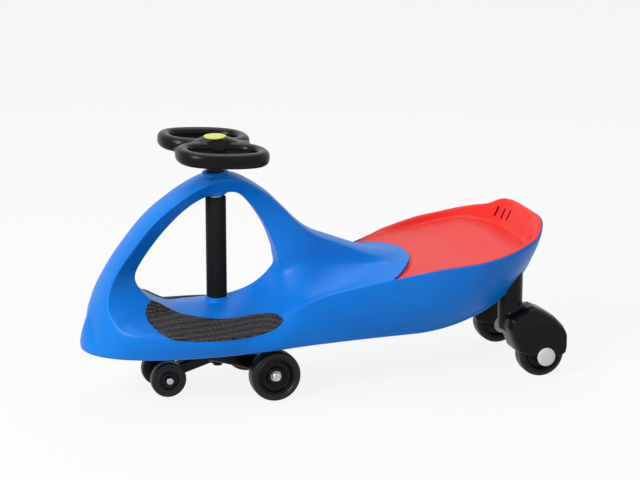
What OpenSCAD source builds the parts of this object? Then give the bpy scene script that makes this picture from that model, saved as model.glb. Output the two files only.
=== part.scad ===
// Wiggle car: a child's ride-on that is driven by swinging its steering wheel.
// X points forward, Y to the rider's left and Z up from the floor.
// The origin is on the floor, near the middle of the body.

/* [Body] */
// Length of the body from tail to nose
body_length = 741; // [700:1:790]
// Greatest width of the body
body_width = 306; // [280:1:330]
// Height of the hull's flat bottom above the floor
base_z = 86; // [85:1:96]
// Height of the arch's crown above the floor
crown_z = 350; // [335:1:370]
// Wall thickness of the moulded body
body_wall = 3.5; // [2.5:0.1:5]
// Half width of the arch's outer face
arch_half_w = 32; // [28:1:36]

/* [Seat] */
// Thickness of the seat panel
seat_t = 3; // [2:0.1:4]
// Depth of the seat's dish
seat_depth = 11; // [8:1:14]

/* [Foot mats] */
// Thickness of each mat
mat_t = 2.5; // [1.5:0.1:4]

/* [Steering] */
// Radius of the steel steering shaft
shaft_r = 7; // [6:0.5:9]
// Outer radius of the sleeve round the shaft
sleeve_r = 16; // [14:0.5:18]
// Wall of the sleeve
sleeve_wall = 2.5; // [1.5:0.1:3.5]
// Radius of the tube of the hand loops
loop_tube_r = 11; // [9:0.5:12]
// Length of each hand loop along the car, outside
loop_length = 144; // [138:1:160]
// Width of each hand loop across the car, outside
loop_width = 100; // [90:1:110]
// Distance from the column to the middle of each loop
loop_offset = 57; // [50:1:60]
// Tilt of the hand loops, front end up
loop_tilt = 4; // [0:1:8]
// Height of the hand loops' middle above the arch's crown
loop_rise = 40; // [36:1:46]

/* [Front truck] */
// Distance of the main axle behind the column
main_trail = 70; // [62:1:78]
// Distance of the small front axle ahead of the column
front_lead = 88; // [82:1:100]
// Distance between the middles of the main wheels
main_track = 156; // [150:1:180]
// Distance between the middles of the small front wheels
front_track = 60; // [52:1:68]
// Radius of the main wheels
main_r = 40; // [36:0.5:41]
// Width of the main wheels
main_w = 26; // [22:1:30]
// Radius of the small front wheels
front_r = 28; // [24:0.5:29]
// Width of the small front wheels
front_w = 16; // [12:1:20]
// Height of the small front wheels above the floor
front_lift = 6; // [4:0.5:9]
// Radius of the front axles
axle_r = 4; // [3:0.5:5]

/* [Rear legs] */
// Distance between the middles of the rear wheels
rear_track = 184; // [178:1:192]
// Distance between the middles of the leg posts
post_spacing = 136; // [128:1:140]
// Radius of the round post of each leg
post_r = 18; // [16:0.5:20]
// Distance of the rear axle behind the posts
rear_trail = 40; // [36:1:44]
// Radius of the rear wheels
rear_r = 38; // [34:0.5:40]
// Width of the rear wheels
rear_w = 26; // [22:1:28]
// Width of the hood over each rear wheel
hood_w = 58; // [54:1:64]
// Wall of the hood outside the wheel's rim
hood_wall = 4; // [3:0.5:6]
// Radius of the white axle caps
cap_r = 15; // [12:0.5:16]

/* [Hidden] */
$fn = 64;

// Colours
blue = "#1f7fe0";
red = "#ea463c";
black = "#1d1d1f";
steel = "#b9bcc0";
white = "#e8e8e4";
lime = "#cdd764";

// Fits
overrun = 1;
run_gap = 0.05;
seat_gap = 0.3;

// Frame: places along the car as shares of a length that starts a little behind the tail and ends at
// the nose, and the share of it behind the tail
tail_share = 0.0276;
frame_length = body_length / (1 - tail_share);
column_x_share = 0.7152;
post_x_share = 0.1;
column_x = frame_length * (column_x_share - 1 / 2);
post_x = frame_length * (post_x_share - 1 / 2);
rear_axle_x = post_x - rear_trail;
main_axle_x = column_x - main_trail;
front_axle_x = column_x + front_lead;
front_axle_z = front_r + front_lift;
body_half_w = body_width / 2;
body_rise = crown_z - base_z;

// Rows of the hull from tail to nose: place along the length, half width at the rim and at the
// bottom as shares of half the body's width, rim height and crest height as shares of the body's
// rise, and the two powers of the curve from rim to crest
hull_shares = [
    [0.0276, 1.000, 0.540, 0.6290, 0.6290, 1.00, 1.80],
    [0.0360, 1.000, 0.550, 0.6250, 0.6250, 1.00, 1.80],
    [0.0430, 1.000, 0.557, 0.6150, 0.6150, 1.00, 1.80],
    [0.0500, 1.000, 0.565, 0.5970, 0.5970, 1.00, 1.80],
    [0.0570, 1.000, 0.572, 0.5780, 0.5780, 1.00, 1.80],
    [0.0650, 1.000, 0.580, 0.5640, 0.5640, 1.00, 1.80],
    [0.0780, 1.000, 0.595, 0.5540, 0.5540, 1.00, 1.80],
    [0.1181, 1.000, 0.636, 0.5270, 0.5270, 1.00, 1.80],
    [0.1640, 0.995, 0.645, 0.4980, 0.4980, 1.00, 1.80],
    [0.2139, 0.980, 0.626, 0.4750, 0.4750, 1.00, 1.80],
    [0.2900, 0.873, 0.602, 0.4414, 0.4386, 1.00, 1.80],
    [0.3071, 0.846, 0.602, 0.4310, 0.4318, 1.00, 1.80],
    [0.3504, 0.771, 0.604, 0.4022, 0.4432, 1.00, 1.80],
    [0.4121, 0.687, 0.608, 0.3624, 0.4773, 1.00, 1.80],
    [0.4711, 0.630, 0.619, 0.3244, 0.5417, 1.00, 1.80],
    [0.5000, 0.607, 0.628, 0.3056, 0.5871, 1.00, 1.80],
    [0.5354, 0.595, 0.639, 0.2792, 0.6439, 1.00, 1.80],
    [0.5591, 0.595, 0.649, 0.2566, 0.6023, 1.00, 1.80],
    [0.5814, 0.595, 0.663, 0.2328, 0.5189, 1.00, 1.80],
    [0.5997, 0.595, 0.675, 0.2138, 0.4091, 1.00, 1.80],
    [0.6312, 0.611, 0.696, 0.1804, 0.3258, 1.09, 1.71],
    [0.6706, 0.647, 0.712, 0.1464, 0.2727, 1.37, 1.43],
    [0.7100, 0.701, 0.716, 0.1247, 0.2424, 1.66, 1.14],
    [0.7493, 0.738, 0.719, 0.1180, 0.2273, 1.80, 1.00],
    [0.8163, 0.756, 0.719, 0.1288, 0.2292, 1.80, 1.00],
    [0.8806, 0.789, 0.719, 0.1658, 0.2576, 1.80, 1.00],
    [0.9331, 0.830, 0.719, 0.2231, 0.2917, 1.80, 1.00],
    [0.9803, 0.830, 0.719, 0.2735, 0.2727, 1.80, 1.00],
    [1.0000, 0.830, 0.719, 0.2955, 0.2652, 1.80, 1.00]];
// Rounding of the tail and the nose in plan: where it starts along the length, and its two powers
tail_start_share = 0.2375;
tail_power = 2.2;
tail_root = 0.3;
nose_start_share = 0.68;
nose_power = 2.8;
nose_root = 0.45;
// Setback of the rim behind the nose tip
nose_rake = 14;
// Sweep of the bottom up to the tail: where it starts, its height and its power
sweep_start_share = 0.32;
sweep_rise_share = 0.47;
sweep_power = 1.9;
// Least half width of the hull's end sections
end_half_w = 2.5;
// Rounding of the hull's lower edge and rim, and bulge of its sides
edge_r = 8;
rim_r = 3;
side_bulge_share = 0.06;

// Rows of the arch from nose to neck: outer and inner points along the length and up the body's
// rise, and the half widths of the outer and the inner edge as shares of the arch's half width
arch_shares = [
    [0.9816, 0.0530, 0.9278, 0.0379, 1.688, 1.125],
    [0.9751, 0.1970, 0.9147, 0.1780, 1.562, 0.969],
    [0.9659, 0.2992, 0.9029, 0.2917, 1.312, 0.781],
    [0.9514, 0.4205, 0.8911, 0.4167, 1.062, 0.562],
    [0.9199, 0.5644, 0.8753, 0.5152, 1.000, 0.438],
    [0.8635, 0.7576, 0.8333, 0.6667, 1.000, 0.406],
    [0.8058, 0.8864, 0.7887, 0.7879, 1.000, 0.406],
    [0.7559, 0.9659, 0.7480, 0.8598, 1.000, 0.438],
    [0.7152, 1.0000, 0.7152, 0.8788, 1.000, 0.469],
    [0.6680, 0.9811, 0.6772, 0.8826, 1.000, 0.438],
    [0.6168, 0.8902, 0.6483, 0.8144, 1.000, 0.406],
    [0.5801, 0.7879, 0.6168, 0.6780, 1.000, 0.438],
    [0.5459, 0.6856, 0.5958, 0.5341, 1.000, 0.562],
    [0.5105, 0.6098, 0.5761, 0.3561, 1.000, 0.812],
    [0.4606, 0.5492, 0.5000, 0.3182, 1.000, 0.938],
    [0.3950, 0.4773, 0.4213, 0.2992, 1.188, 1.125],
    [0.3228, 0.4280, 0.3425, 0.2992, 1.625, 1.562]];
arch_sag_share = 0.09;
arch_edge_r = 5;
arch_steps = 3;
// Draw of the arch's hollow from its sides and faces, as shares of the wall, and its middle
void_side_share = 1.8;
void_face_share = 2.4;
void_mid_share = 0.55;

// Sections along the hull and round each section
hull_steps = 40;
side_steps = 3;
top_steps = 8;

// Bosses of the body
boss_wall = 5;
crown_boss_h = 5;
crown_ring_r = 21;
crown_boss_r = 17;
socket_drop = 5;
deck_boss_h = 4;
deck_boss_r = 19;
bush_wall = 4;
bush_flange_h = 2;
bush_flange_w = 2.5;
bush_r = shaft_r + bush_wall;
tube_r = bush_r + boss_wall;
lower_bush_h = 30;
socket_h = 50;
socket_roof = 6;
belly_x_share = 0.42;
belly_l = 110;
belly_w = 90;
belly_t = 2;
post_gap = 0.4;

// Seat
seat_inset = 0.8;
rim_over = 5;
ledge_w = 4;
opening_depth = 24;
opening_draft = 12;
floor_rings = 3;
wall_rings = 7;
seat_rings = floor_rings + wall_rings + 1;
seat_outline_steps = 34;
seat_front_share = 0.381;
seat_mid_share = 0.165;
seam_back = 57;
seam_ledge = 5;
flange_w = 5.5;
wall_w = 14;
tail_wall_w = 30;
level_share = 0.125;
slot_count = 3;
slot_pitch = 18;
slot_w = 4.5;
slot_l = 18;
slot_lean = 54;
slot_reach = 14;
slot_y = 56;
slot_back = 25;
slot_sweep = 4;

// Mats
mat_shares = [
    [0.6090, 0.930, 0.975],
    [0.6186, 0.875, 0.975],
    [0.6300, 0.755, 0.975],
    [0.6500, 0.680, 0.975],
    [0.6720, 0.678, 0.975],
    [0.7180, 0.693, 0.975],
    [0.7450, 0.663, 0.975],
    [0.7695, 0.610, 0.975],
    [0.8100, 0.438, 0.975],
    [0.8460, 0.290, 0.970],
    [0.8670, 0.282, 0.900],
    [0.8810, 0.350, 0.740],
    [0.8885, 0.500, 0.580]];
mat_steps = 28;
mat_ribs = 7;

// Wheels and axles
tyre_wall = 11;
tyre_round = 6;
hub_web = 8;
hub_boss_wall = 4;
bearing_r = 11;
bearing_w = 7;
bearing_inset = 5;
nut_r = 7.5;
nut_h = 6;
wheel_gap = 1.5;
end_gap = 0.5;
front_face_step = 1;
rear_tyre_wall = 9;
rear_axle_r = 4;
cap_t = 4;
hood_gap = 4;
hood_slot_gap = 3;

// Truck
truck_hub_r = 24;
truck_hub_h = 28;
beam_r = 12;
stub_r = 7;
arm_r = 9;
arm_h = 12;
thrust_t = 5;
thrust_r = 27;
shaft_nut_h = 8;
shaft_nut_r = 12;
shaft_tail = 4;

// Steering wheel
neck_r = 14;
loop_lead = 3.5;
loop_end_share = 0.82;
loop_bead = 0.15;
hub_r = 26;
hub_h = 24;
hub_dome = 8;
hub_recess_r = 12;
hub_recess_h = 14;
cap_disc_r = 17.5;
saddle_reach = 48;
saddle_end_r = 16;
cap_disc_t = 3;
hub_nut_r = 10;
hub_nut_h = 6;
washer_t = 1.5;

// Leg screws
screw_r = 3;
screw_l = 24;
screw_head_r = 6;
screw_head_h = 4;
leg_washer_r = 10;

// Inner edge of the arch as rows of place along the length and height, sorted from tail to nose
arch_by_x = [for (i = [len(arch_shares) - 1 : -1 : 0])
    [along(arch_shares[i][2]), arch_shares[i][3]]];

// Ends and middle of the body
tail_x = along(tail_share);
nose_x = along(1);
mid_x = (tail_x + nose_x) / 2;

// Heights along the column
deck_z = crest_z(column_x);
deck_boss_z = deck_z + deck_boss_h;
arch_under_z = base_z + body_rise * curve(arch_by_x, 1, column_x);
sleeve_top_z = arch_under_z - socket_drop;
crown_boss_z = crown_z + crown_boss_h;
loop_z = crown_z + loop_rise;
truck_top_z = base_z - thrust_t;
truck_low_z = truck_top_z - truck_hub_h;
neck_low_z = crown_boss_z + bush_flange_h + seat_gap;
hub_low_z = loop_z - hub_h / 2;
hub_top_z = loop_z + hub_h / 2;
recess_z = hub_top_z + hub_dome - hub_recess_h;
socket_top_z = bottom_z(post_x) + socket_h;
post_top_z = socket_top_z - socket_roof - post_gap;

// Place along the car of a share of its length
function along(share) = frame_length * (share - 1 / 2);
// Share of the length at a place along the car
function share_at(x) = x / frame_length + 1 / 2;
// Height of a share of the body's rise
function up(share) = base_z + body_rise * share;

// Smooth curve through the rows of a table: the first column is the place
function row_of(t, x, i = 0) = i >= len(t) - 2 || x < t[i + 1][0] ? i : row_of(t, x, i + 1);
function secant(t, c, i, j) = (t[j][c] - t[i][c]) / (t[j][0] - t[i][0]);
function tangent(t, c, i) = secant(t, c, max(i - 1, 0), min(i + 1, len(t) - 1));
function hermite(a, b, da, db, u) = a * (1 + 2 * u) * (1 - u) ^ 2 + b * u ^ 2 * (3 - 2 * u)
    + da * u * (1 - u) ^ 2 - db * u ^ 2 * (1 - u);
function curve(t, c, x) =
    let (i = row_of(t, x), h = t[i + 1][0] - t[i][0], u = (x - t[i][0]) / h)
    hermite(t[i][c], t[i + 1][c], h * tangent(t, c, i), h * tangent(t, c, i + 1), u);
// The same through rows taken one after the other, at a fractional row number
function along_rows(t, c, v) =
    let (i = min(floor(v), len(t) - 2), u = v - i, n = len(t) - 1)
    hermite(t[i][c], t[i + 1][c], (t[i + 1][c] - t[max(i - 1, 0)][c]) / 2,
        (t[min(i + 2, n)][c] - t[i][c]) / 2, u);
function blend(a, b, u) = a + (b - a) * u;
function smooth(u) = let (v = max(0, min(1, u))) v * v * (3 - 2 * v);

// Rounding of the ends in plan, from 1 in the middle of the car to 0 at its ends
function end_round(t, power, root) = t <= 0 ? 1 : max(0, 1 - min(t, 1) ^ power) ^ root;
function tail_round(x) = end_round((along(tail_start_share) - x) / (along(tail_start_share) - tail_x),
    tail_power, tail_root);
function nose_round(x, tip) =
    end_round((x - along(nose_start_share)) / (tip - along(nose_start_share)), nose_power, nose_root);
function rim_y(x) = max(end_half_w, body_half_w * curve(hull_shares, 1, share_at(x)) * tail_round(x)
    * nose_round(x, nose_x - nose_rake));
function bottom_y(x) = max(end_half_w, body_half_w * curve(hull_shares, 2, share_at(x)) * tail_round(x)
    * nose_round(x, nose_x));
function rim_z(x) = up(curve(hull_shares, 3, share_at(x)));
function crest_z(x) = up(curve(hull_shares, 4, share_at(x)));
function bottom_z(x) = let (t = (along(sweep_start_share) - x) / (sweep_start_share * frame_length))
    base_z + body_rise * sweep_rise_share * max(0, t) ^ sweep_power;
// Height of the deck, neck or tub at a place in plan
function top_z(x, y) =
    let (t = min(1, abs(y) / rim_y(x)), p = curve(hull_shares, 5, share_at(x)),
        q = curve(hull_shares, 6, share_at(x)))
    rim_z(x) + (crest_z(x) - rim_z(x)) * (1 - t ^ p) ^ q;

// Share of a section's height left at the leaning face of the nose
function nose_face(x) = min(1, sqrt(max(0, (nose_x - x) / nose_rake)));

// One side of a hull section, from the middle of the bottom to the middle of the top
function half_section(x, inset) =
    let (lower = x < along(seat_front_share) ? 2 * inset : inset,
        xe = mid_x + (x - mid_x) * body_length / (body_length - 2 * inset),
        yb = max(end_half_w, bottom_y(xe) - inset), yr = max(end_half_w, rim_y(xe) - inset),
        zb = bottom_z(x) + inset, k = nose_face(x + inset),
        zr = max(zb + rim_r, blend(zb, rim_z(x) - lower, k)),
        e = min(edge_r, yb / 2, (zr - zb) / 3),
        m = min(rim_r, yr / 4))
    concat([[0, zb], [yb - e, zb], [yb - e * 0.3, zb + e * 0.3]],
        [for (i = [0 : side_steps]) let (u = i / side_steps)
            [blend(yb, yr, u) + side_bulge_share * (zr - zb) * 4 * u * (1 - u), blend(zb + e, zr - m, u)]],
        [[yr - m * 0.3, zr - m * 0.3]],
        [for (i = [0 : top_steps]) let (y = (yr - m) * (1 - i / top_steps))
            [y, max(zb + rim_r, blend(zb, top_z(x, y) - lower, k))]]);
function hull_ring(x, inset) = let (h = half_section(x, inset), n = len(h))
    concat([for (p = h) [x, p[0], p[1]]], [for (i = [n - 2 : -1 : 1]) [x, -h[i][0], h[i][1]]]);
// Places of the sections, closer together near the rounded ends
function station(i, n, inset) = mid_x - (body_length / 2 - inset) * cos(180 * i / n);

// Closed solid through rings of points
module loft(rings) {
    n = len(rings[0]);
    m = len(rings);
    polyhedron([for (r = rings) each r],
        concat([[for (j = [n - 1 : -1 : 0]) j]],
            [for (i = [0 : m - 2], j = [0 : n - 1]) let (k = (j + 1) % n)
                each [[i * n + j, i * n + k, (i + 1) * n + k],
                    [i * n + j, (i + 1) * n + k, (i + 1) * n + j]]],
            [[for (j = [0 : n - 1]) (m - 1) * n + j]]));
}

module hull_solid(inset) {
    loft([for (i = [hull_steps : -1 : 0]) hull_ring(station(i, hull_steps, inset), inset)]);
}

// Section of the arch in its own plane: across, and out from the inner edge to the outer face
function arch_outline(a, b, d, r, s) =
    concat([for (u = [-0.9, -0.45, 0, 0.45, 0.9]) [a * u, d - s * u * u]],
        [[a, d - s - r * 0.4], [a, d - s - r], [blend(a, b, 0.5), d / 2]],
        [[b, r * 0.6], [b * 0.7, 0], [-b * 0.7, 0], [-b, r * 0.6]],
        [[-blend(a, b, 0.5), d / 2], [-a, d - s - r], [-a, d - s - r * 0.4]]);
// The same drawn in towards its middle by a wall
function arch_section(depth, wo, wi, inset) =
    let (across = 1 - void_side_share * inset / wo, deep = 1 - void_face_share * inset / depth,
        mid = void_mid_share * depth)
    [for (q = arch_outline(wo, wi, depth, arch_edge_r, arch_sag_share * wo))
        [q[0] * across, mid + (q[1] - mid) * deep]];
function arch_ring(v, inset) =
    let (xo = along(along_rows(arch_shares, 0, v)), zo = up(along_rows(arch_shares, 1, v)),
        xi = along(along_rows(arch_shares, 2, v)), zi = up(along_rows(arch_shares, 3, v)),
        wo = arch_half_w * along_rows(arch_shares, 4, v), wi = arch_half_w * along_rows(arch_shares, 5, v),
        d = norm([xo - xi, zo - zi]), ux = (xo - xi) / d, uz = (zo - zi) / d)
    [for (p = arch_section(d, wo, wi, inset)) [xi + ux * p[1], p[0], zi + uz * p[1]]];
module arch_solid(inset, first, last) {
    n = round((last - first) * arch_steps);
    loft([for (i = [n : -1 : 0]) arch_ring(first + i / arch_steps, inset)]);
}

// Outline of the seat in plan: the rim from one front tip round the tail to the other, then the seam
function seam_x(y) = let (x = along(seat_front_share)) x - seam_back * (1 - (y / rim_y(x)) ^ 2);
function seat_outline(inset, seam) =
    let (x0 = along(seat_front_share), x1 = tail_x + inset, n = seat_outline_steps,
        side = [for (i = [0 : n - 1]) let (x = blend(x0, x1, sin(90 * i / (n - 1))))
            [x, max(0, rim_y(x - inset * i / (n - 1)) - inset)]],
        y0 = side[0][1])
    concat(side, [for (i = [n - 2 : -1 : 0]) [side[i][0], -side[i][1]]],
        [for (i = [1 : n / 3]) let (y = blend(-y0, y0, i / (n / 3 + 1)))
            [seam_x(y) - seam, y]]);

// Height of the rim without its rise at the tail
function level_z(x) = rim_z(max(x, along(level_share)));
// Space under the seat, open at the top
module seat_opening() {
    loft([for (ring = [[crown_z, 0], [opening_depth, 0], [0, opening_draft]])
        [for (p = seat_outline(ledge_w + ring[1], seam_ledge)) [p[0], p[1],
            ring[0] + max(bottom_z(p[0]) + body_wall, level_z(p[0]) - opening_depth)]]]);
}
// Recess that takes the seat's edge, out past the rim
module seat_recess() {
    o = seat_outline(seat_inset, seat_inset);
    outer = seat_outline(-rim_over, seat_inset - seat_gap);
    inner = seat_outline(ledge_w + flange_w, seam_ledge + flange_w);
    loft([for (ring = [[outer, crown_z, 0], [outer, 0, 0], [inner, 0, 1]]) [for (i = [0 : len(o) - 1])
        let (j = (i + ring[2]) % len(o))
            [ring[0][j][0], ring[0][j][1], rim_z(o[j][0]) - seat_t - seat_gap + ring[1]]]]);
}

module bosses() {
    translate([column_x, 0, base_z]) cylinder(h = deck_z - base_z, r = tube_r);
    for (side = [-1, 1])
        translate([post_x, side * post_spacing / 2, base_z])
            cylinder(h = socket_top_z - base_z, r = post_r + post_gap + boss_wall);
}

module body_mesh() {
    difference() {
        union() {
            hull_solid(0);
            arch_solid(0, 0, len(arch_shares) - 1);
        }
        difference() {
            union() {
                hull_solid(body_wall);
                arch_solid(body_wall, 0, len(arch_shares) - 2);
            }
            bosses();
        }
        difference() {
            seat_opening();
            bosses();
        }
        seat_recess();
    }
}

module body_shell() {
    color(blue) difference() {
        union() {
            resize([body_length, 0, 0]) body_mesh();
            at_column(sleeve_top_z) cylinder(h = crown_z - sleeve_top_z, r = crown_boss_r);
            at_column(crown_z - crown_boss_h) cylinder(h = 2 * crown_boss_h, r = crown_ring_r);
            at_column(deck_z - deck_boss_h) cylinder(h = 2 * deck_boss_h, r = deck_boss_r);
            translate([along(belly_x_share) - belly_l / 2, -belly_w / 2, base_z - belly_t])
                cube([belly_l, belly_w, 2 * belly_t]);
        }
        translate([column_x, 0, base_z - overrun])
            cylinder(h = crown_boss_z - base_z + 2 * overrun, r = bush_r + run_gap);
        for (side = [-1, 1]) translate([post_x, side * post_spacing / 2, base_z - overrun]) {
            cylinder(h = post_top_z + post_gap - base_z + overrun, r = post_r + post_gap);
            cylinder(h = socket_top_z - base_z + 2 * overrun, r = screw_r + post_gap);
        }
    }
}

// Rings of the seat from its middle to its edge: the floor, the wall round it and the rim
seat_mid_x = along(seat_mid_share);
function wall_at(i) = max(0, min(1, (i - floor_rings) / wall_rings));
function wall_reach(p) = blend(wall_w, tail_wall_w, smooth((seat_mid_x - p[0]) / (seat_mid_x - tail_x)));
function seat_share(p, i) =
    let (r = norm([p[0] - seat_mid_x, p[1]]), ridge = 1 - flange_w / r, foot = ridge - wall_reach(p) / r)
    i <= floor_rings ? foot * i / floor_rings
        : i == seat_rings ? 1 : blend(foot, ridge, wall_at(i));
// A point of the seat, or the point under it
function seat_point(p, i, under = 0) =
    let (u = seat_share(p, i), x = blend(seat_mid_x, p[0], u))
    [x, p[1] * u, blend(level_z(x) - seat_depth, rim_z(p[0]), smooth(wall_at(i))) - under];
// Slots in the wall at the right rear corner
module seat_slots() {
    for (i = [0 : slot_count - 1]) {
        step = i - (slot_count - 1) / 2;
        translate([tail_x + slot_back + step * slot_sweep, -slot_y - step * slot_pitch,
            (level_z(tail_x) - seat_depth + rim_z(tail_x)) / 2])
            rotate([0, slot_lean, 0]) cube([slot_l, slot_w, slot_reach], center = true);
    }
}
module seat_panel() {
    o = seat_outline(seat_inset, seat_inset);
    n = len(o);
    pts = concat([for (i = [1 : seat_rings], p = o) seat_point(p, i)],
        [for (i = [1 : seat_rings], p = o) seat_point(p, i, seat_t)],
        [seat_point(o[0], 0), seat_point(o[0], 0, seat_t)]);
    m = seat_rings * n;
    color(red) difference() {
        polyhedron(pts, concat(
        [for (j = [0 : n - 1]) [2 * m, (j + 1) % n, j]],
        [for (j = [0 : n - 1]) [2 * m + 1, m + j, m + (j + 1) % n]],
        [for (i = [0 : seat_rings - 2], j = [0 : n - 1]) let (k = (j + 1) % n, a = i * n, b = a + n)
            each [[a + j, a + k, b + k], [a + j, b + k, b + j],
                [m + a + j, m + b + k, m + a + k], [m + a + j, m + b + j, m + b + k]]],
        [for (j = [0 : n - 1]) let (k = (j + 1) % n, a = m - n) each [[a + j, a + k, m + a + k],
            [a + j, m + a + k, m + a + j]]]));
        seat_slots();
    }
}

// Mats: strips that follow the deck
function mat_ring(i) =
    let (s = blend(mat_shares[0][0], mat_shares[len(mat_shares) - 1][0], i / mat_steps), x = along(s),
        a = curve(mat_shares, 1, s), b = curve(mat_shares, 2, s),
        ys = [for (j = [0 : mat_ribs]) rim_y(x) * blend(a, b, j / mat_ribs)])
    concat([for (y = ys) [x, y, top_z(x, y) + seat_gap]],
        [for (j = [mat_ribs : -1 : 0]) [x, ys[j], top_z(x, ys[j]) + seat_gap + mat_t]]);
module foot_mat(side) {
    color(black) mirror([0, side < 0 ? 1 : 0, 0]) loft([for (i = [mat_steps : -1 : 0]) mat_ring(i)]);
}

// Tube along Z
module tube(r, bore, h) {
    difference() {
        cylinder(h = h, r = r);
        translate([0, 0, -overrun]) cylinder(h = h + 2 * overrun, r = bore);
    }
}
module at_column(z) {
    translate([column_x, 0, z]) children();
}

module column_sleeve() {
    color(black) at_column(deck_boss_z) tube(sleeve_r, sleeve_r - sleeve_wall, sleeve_top_z - deck_boss_z);
}
module upper_bush() {
    color(white) at_column(sleeve_top_z) union() {
        tube(bush_r, shaft_r + run_gap, crown_boss_z - sleeve_top_z);
        translate([0, 0, crown_boss_z - sleeve_top_z])
            tube(bush_r + bush_flange_w, shaft_r + run_gap, bush_flange_h);
    }
}
module lower_bush() {
    color(white) at_column(base_z) tube(bush_r, shaft_r + run_gap, lower_bush_h);
}
module thrust_washer() {
    color(white) at_column(truck_top_z) tube(thrust_r, shaft_r + run_gap, thrust_t);
}

// Steering wheel: ovals of four arcs
loop_a = loop_length / 2 - loop_tube_r;
loop_b = loop_width / 2 - loop_tube_r;
loop_end_r = loop_b * loop_end_share;
loop_side_r = ((loop_a - loop_end_r) ^ 2 + loop_b ^ 2 - loop_end_r ^ 2) / (2 * (loop_b - loop_end_r));
loop_angle = atan((loop_a - loop_end_r) / (loop_side_r - loop_b));
module arc_tube(r, from, sweep) {
    rotate([0, 0, from]) rotate_extrude(angle = sweep) translate([r, 0]) circle(r = loop_tube_r);
}
module hand_loop() {
    for (end = [0, 180]) {
        rotate([0, 0, end]) translate([loop_a - loop_end_r, 0, 0])
            arc_tube(loop_end_r, loop_angle - 90, 180 - 2 * loop_angle);
        rotate([0, 0, end]) translate([0, loop_b - loop_side_r, 0])
            arc_tube(loop_side_r, 90 - loop_angle, 2 * loop_angle);
        for (side = [-1, 1]) rotate([0, 0, end]) translate([loop_a - loop_end_r, 0, 0])
            rotate([0, 0, side * (90 - loop_angle)]) translate([loop_end_r, 0, 0])
                sphere(r = loop_tube_r + loop_bead);
    }
}
module steering_wheel() {
    color(black) at_column(0) difference() {
        union() {
            for (side = [-1, 1]) translate([loop_lead, side * loop_offset, loop_z])
                rotate([0, -loop_tilt, 0]) hand_loop();
            translate([0, 0, neck_low_z]) cylinder(h = hub_low_z - neck_low_z + overrun, r = neck_r);
            translate([0, 0, hub_low_z]) cylinder(h = hub_h, r = hub_r);
            hull() {
                translate([0, 0, loop_z])
                    cylinder(h = hub_top_z + hub_dome - loop_z, r = cap_disc_r + boss_wall);
                for (end = [-1, 1]) translate([end * saddle_reach, 0, loop_z])
                    cylinder(h = loop_tube_r / 2, r = saddle_end_r);
            }
        }
        translate([0, 0, neck_low_z - overrun])
            cylinder(h = hub_top_z - neck_low_z, r = shaft_r + run_gap);
        translate([0, 0, recess_z]) cylinder(h = hub_recess_h + overrun, r = hub_recess_r);
        translate([0, 0, hub_top_z + hub_dome - cap_disc_t])
            cylinder(h = cap_disc_t + overrun, r = cap_disc_r + run_gap);
    }
}
module hub_washer() {
    color(steel) at_column(recess_z) tube(hub_nut_r, shaft_r + run_gap, washer_t);
}
module hub_nut() {
    color(steel) at_column(recess_z + washer_t) difference() {
        cylinder(h = hub_nut_h, r = hub_nut_r, $fn = 6);
        translate([0, 0, -overrun]) cylinder(h = hub_nut_h + 2 * overrun, r = shaft_r + run_gap);
    }
}
module hub_cap() {
    color(lime) at_column(hub_top_z + hub_dome - cap_disc_t) cylinder(h = cap_disc_t, r = cap_disc_r);
}
module steering_shaft() {
    low = truck_low_z - washer_t - shaft_nut_h - shaft_tail;
    color(steel) at_column(low) cylinder(h = recess_z + washer_t + hub_nut_h - low, r = shaft_r);
}

// Truck: hub on the shaft, a beam to the main axle behind it and an arm to the small axle ahead
main_beam_l = main_track - main_w - 2 * wheel_gap;
front_boss_l = front_w - 2 * front_face_step;
front_beam_l = front_track - front_w - 2 * end_gap;
module across(x, z) {
    translate([x, 0, z]) rotate([-90, 0, 0]) children();
}
module bar_across(x, z, r, l) {
    across(x, z) translate([0, 0, -l / 2]) cylinder(h = l, r = r);
}
module truck_frame() {
    color(black) difference() {
        union() {
            at_column(truck_low_z) cylinder(h = truck_hub_h, r = truck_hub_r);
            bar_across(main_axle_x, main_r, beam_r, main_beam_l);
            bar_across(main_axle_x, main_r, stub_r, main_track - main_w + 2 * bearing_inset - end_gap);
            bar_across(front_axle_x, front_axle_z, arm_r, front_beam_l);
            hull() {
                at_column(truck_low_z) cylinder(h = truck_hub_h - arm_h, r = truck_hub_r, $fn = 32);
                bar_across(main_axle_x, main_r, beam_r, main_track / 3, $fn = 32);
            }
            hull() {
                at_column(truck_low_z) cylinder(h = arm_h, r = truck_hub_r / 2, $fn = 32);
                bar_across(front_axle_x, front_axle_z, arm_r, front_beam_l / 2, $fn = 32);
            }
        }
        at_column(truck_low_z - arm_h) cylinder(h = truck_hub_h + 2 * arm_h, r = shaft_r + run_gap);
        at_column(truck_low_z - base_z) cylinder(h = base_z, r = shaft_nut_r + wheel_gap);
        bar_across(main_axle_x, main_r, axle_r + run_gap, main_track);
        bar_across(front_axle_x, front_axle_z, axle_r + run_gap, front_track);
    }
}
module shaft_nut() {
    color(steel) at_column(truck_low_z - washer_t - shaft_nut_h) difference() {
        union() {
            cylinder(h = shaft_nut_h, r = shaft_nut_r, $fn = 6);
            translate([0, 0, shaft_nut_h]) cylinder(h = washer_t, r = shaft_nut_r);
        }
        translate([0, 0, -overrun])
            cylinder(h = shaft_nut_h + washer_t + 2 * overrun, r = shaft_r + run_gap);
    }
}

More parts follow.
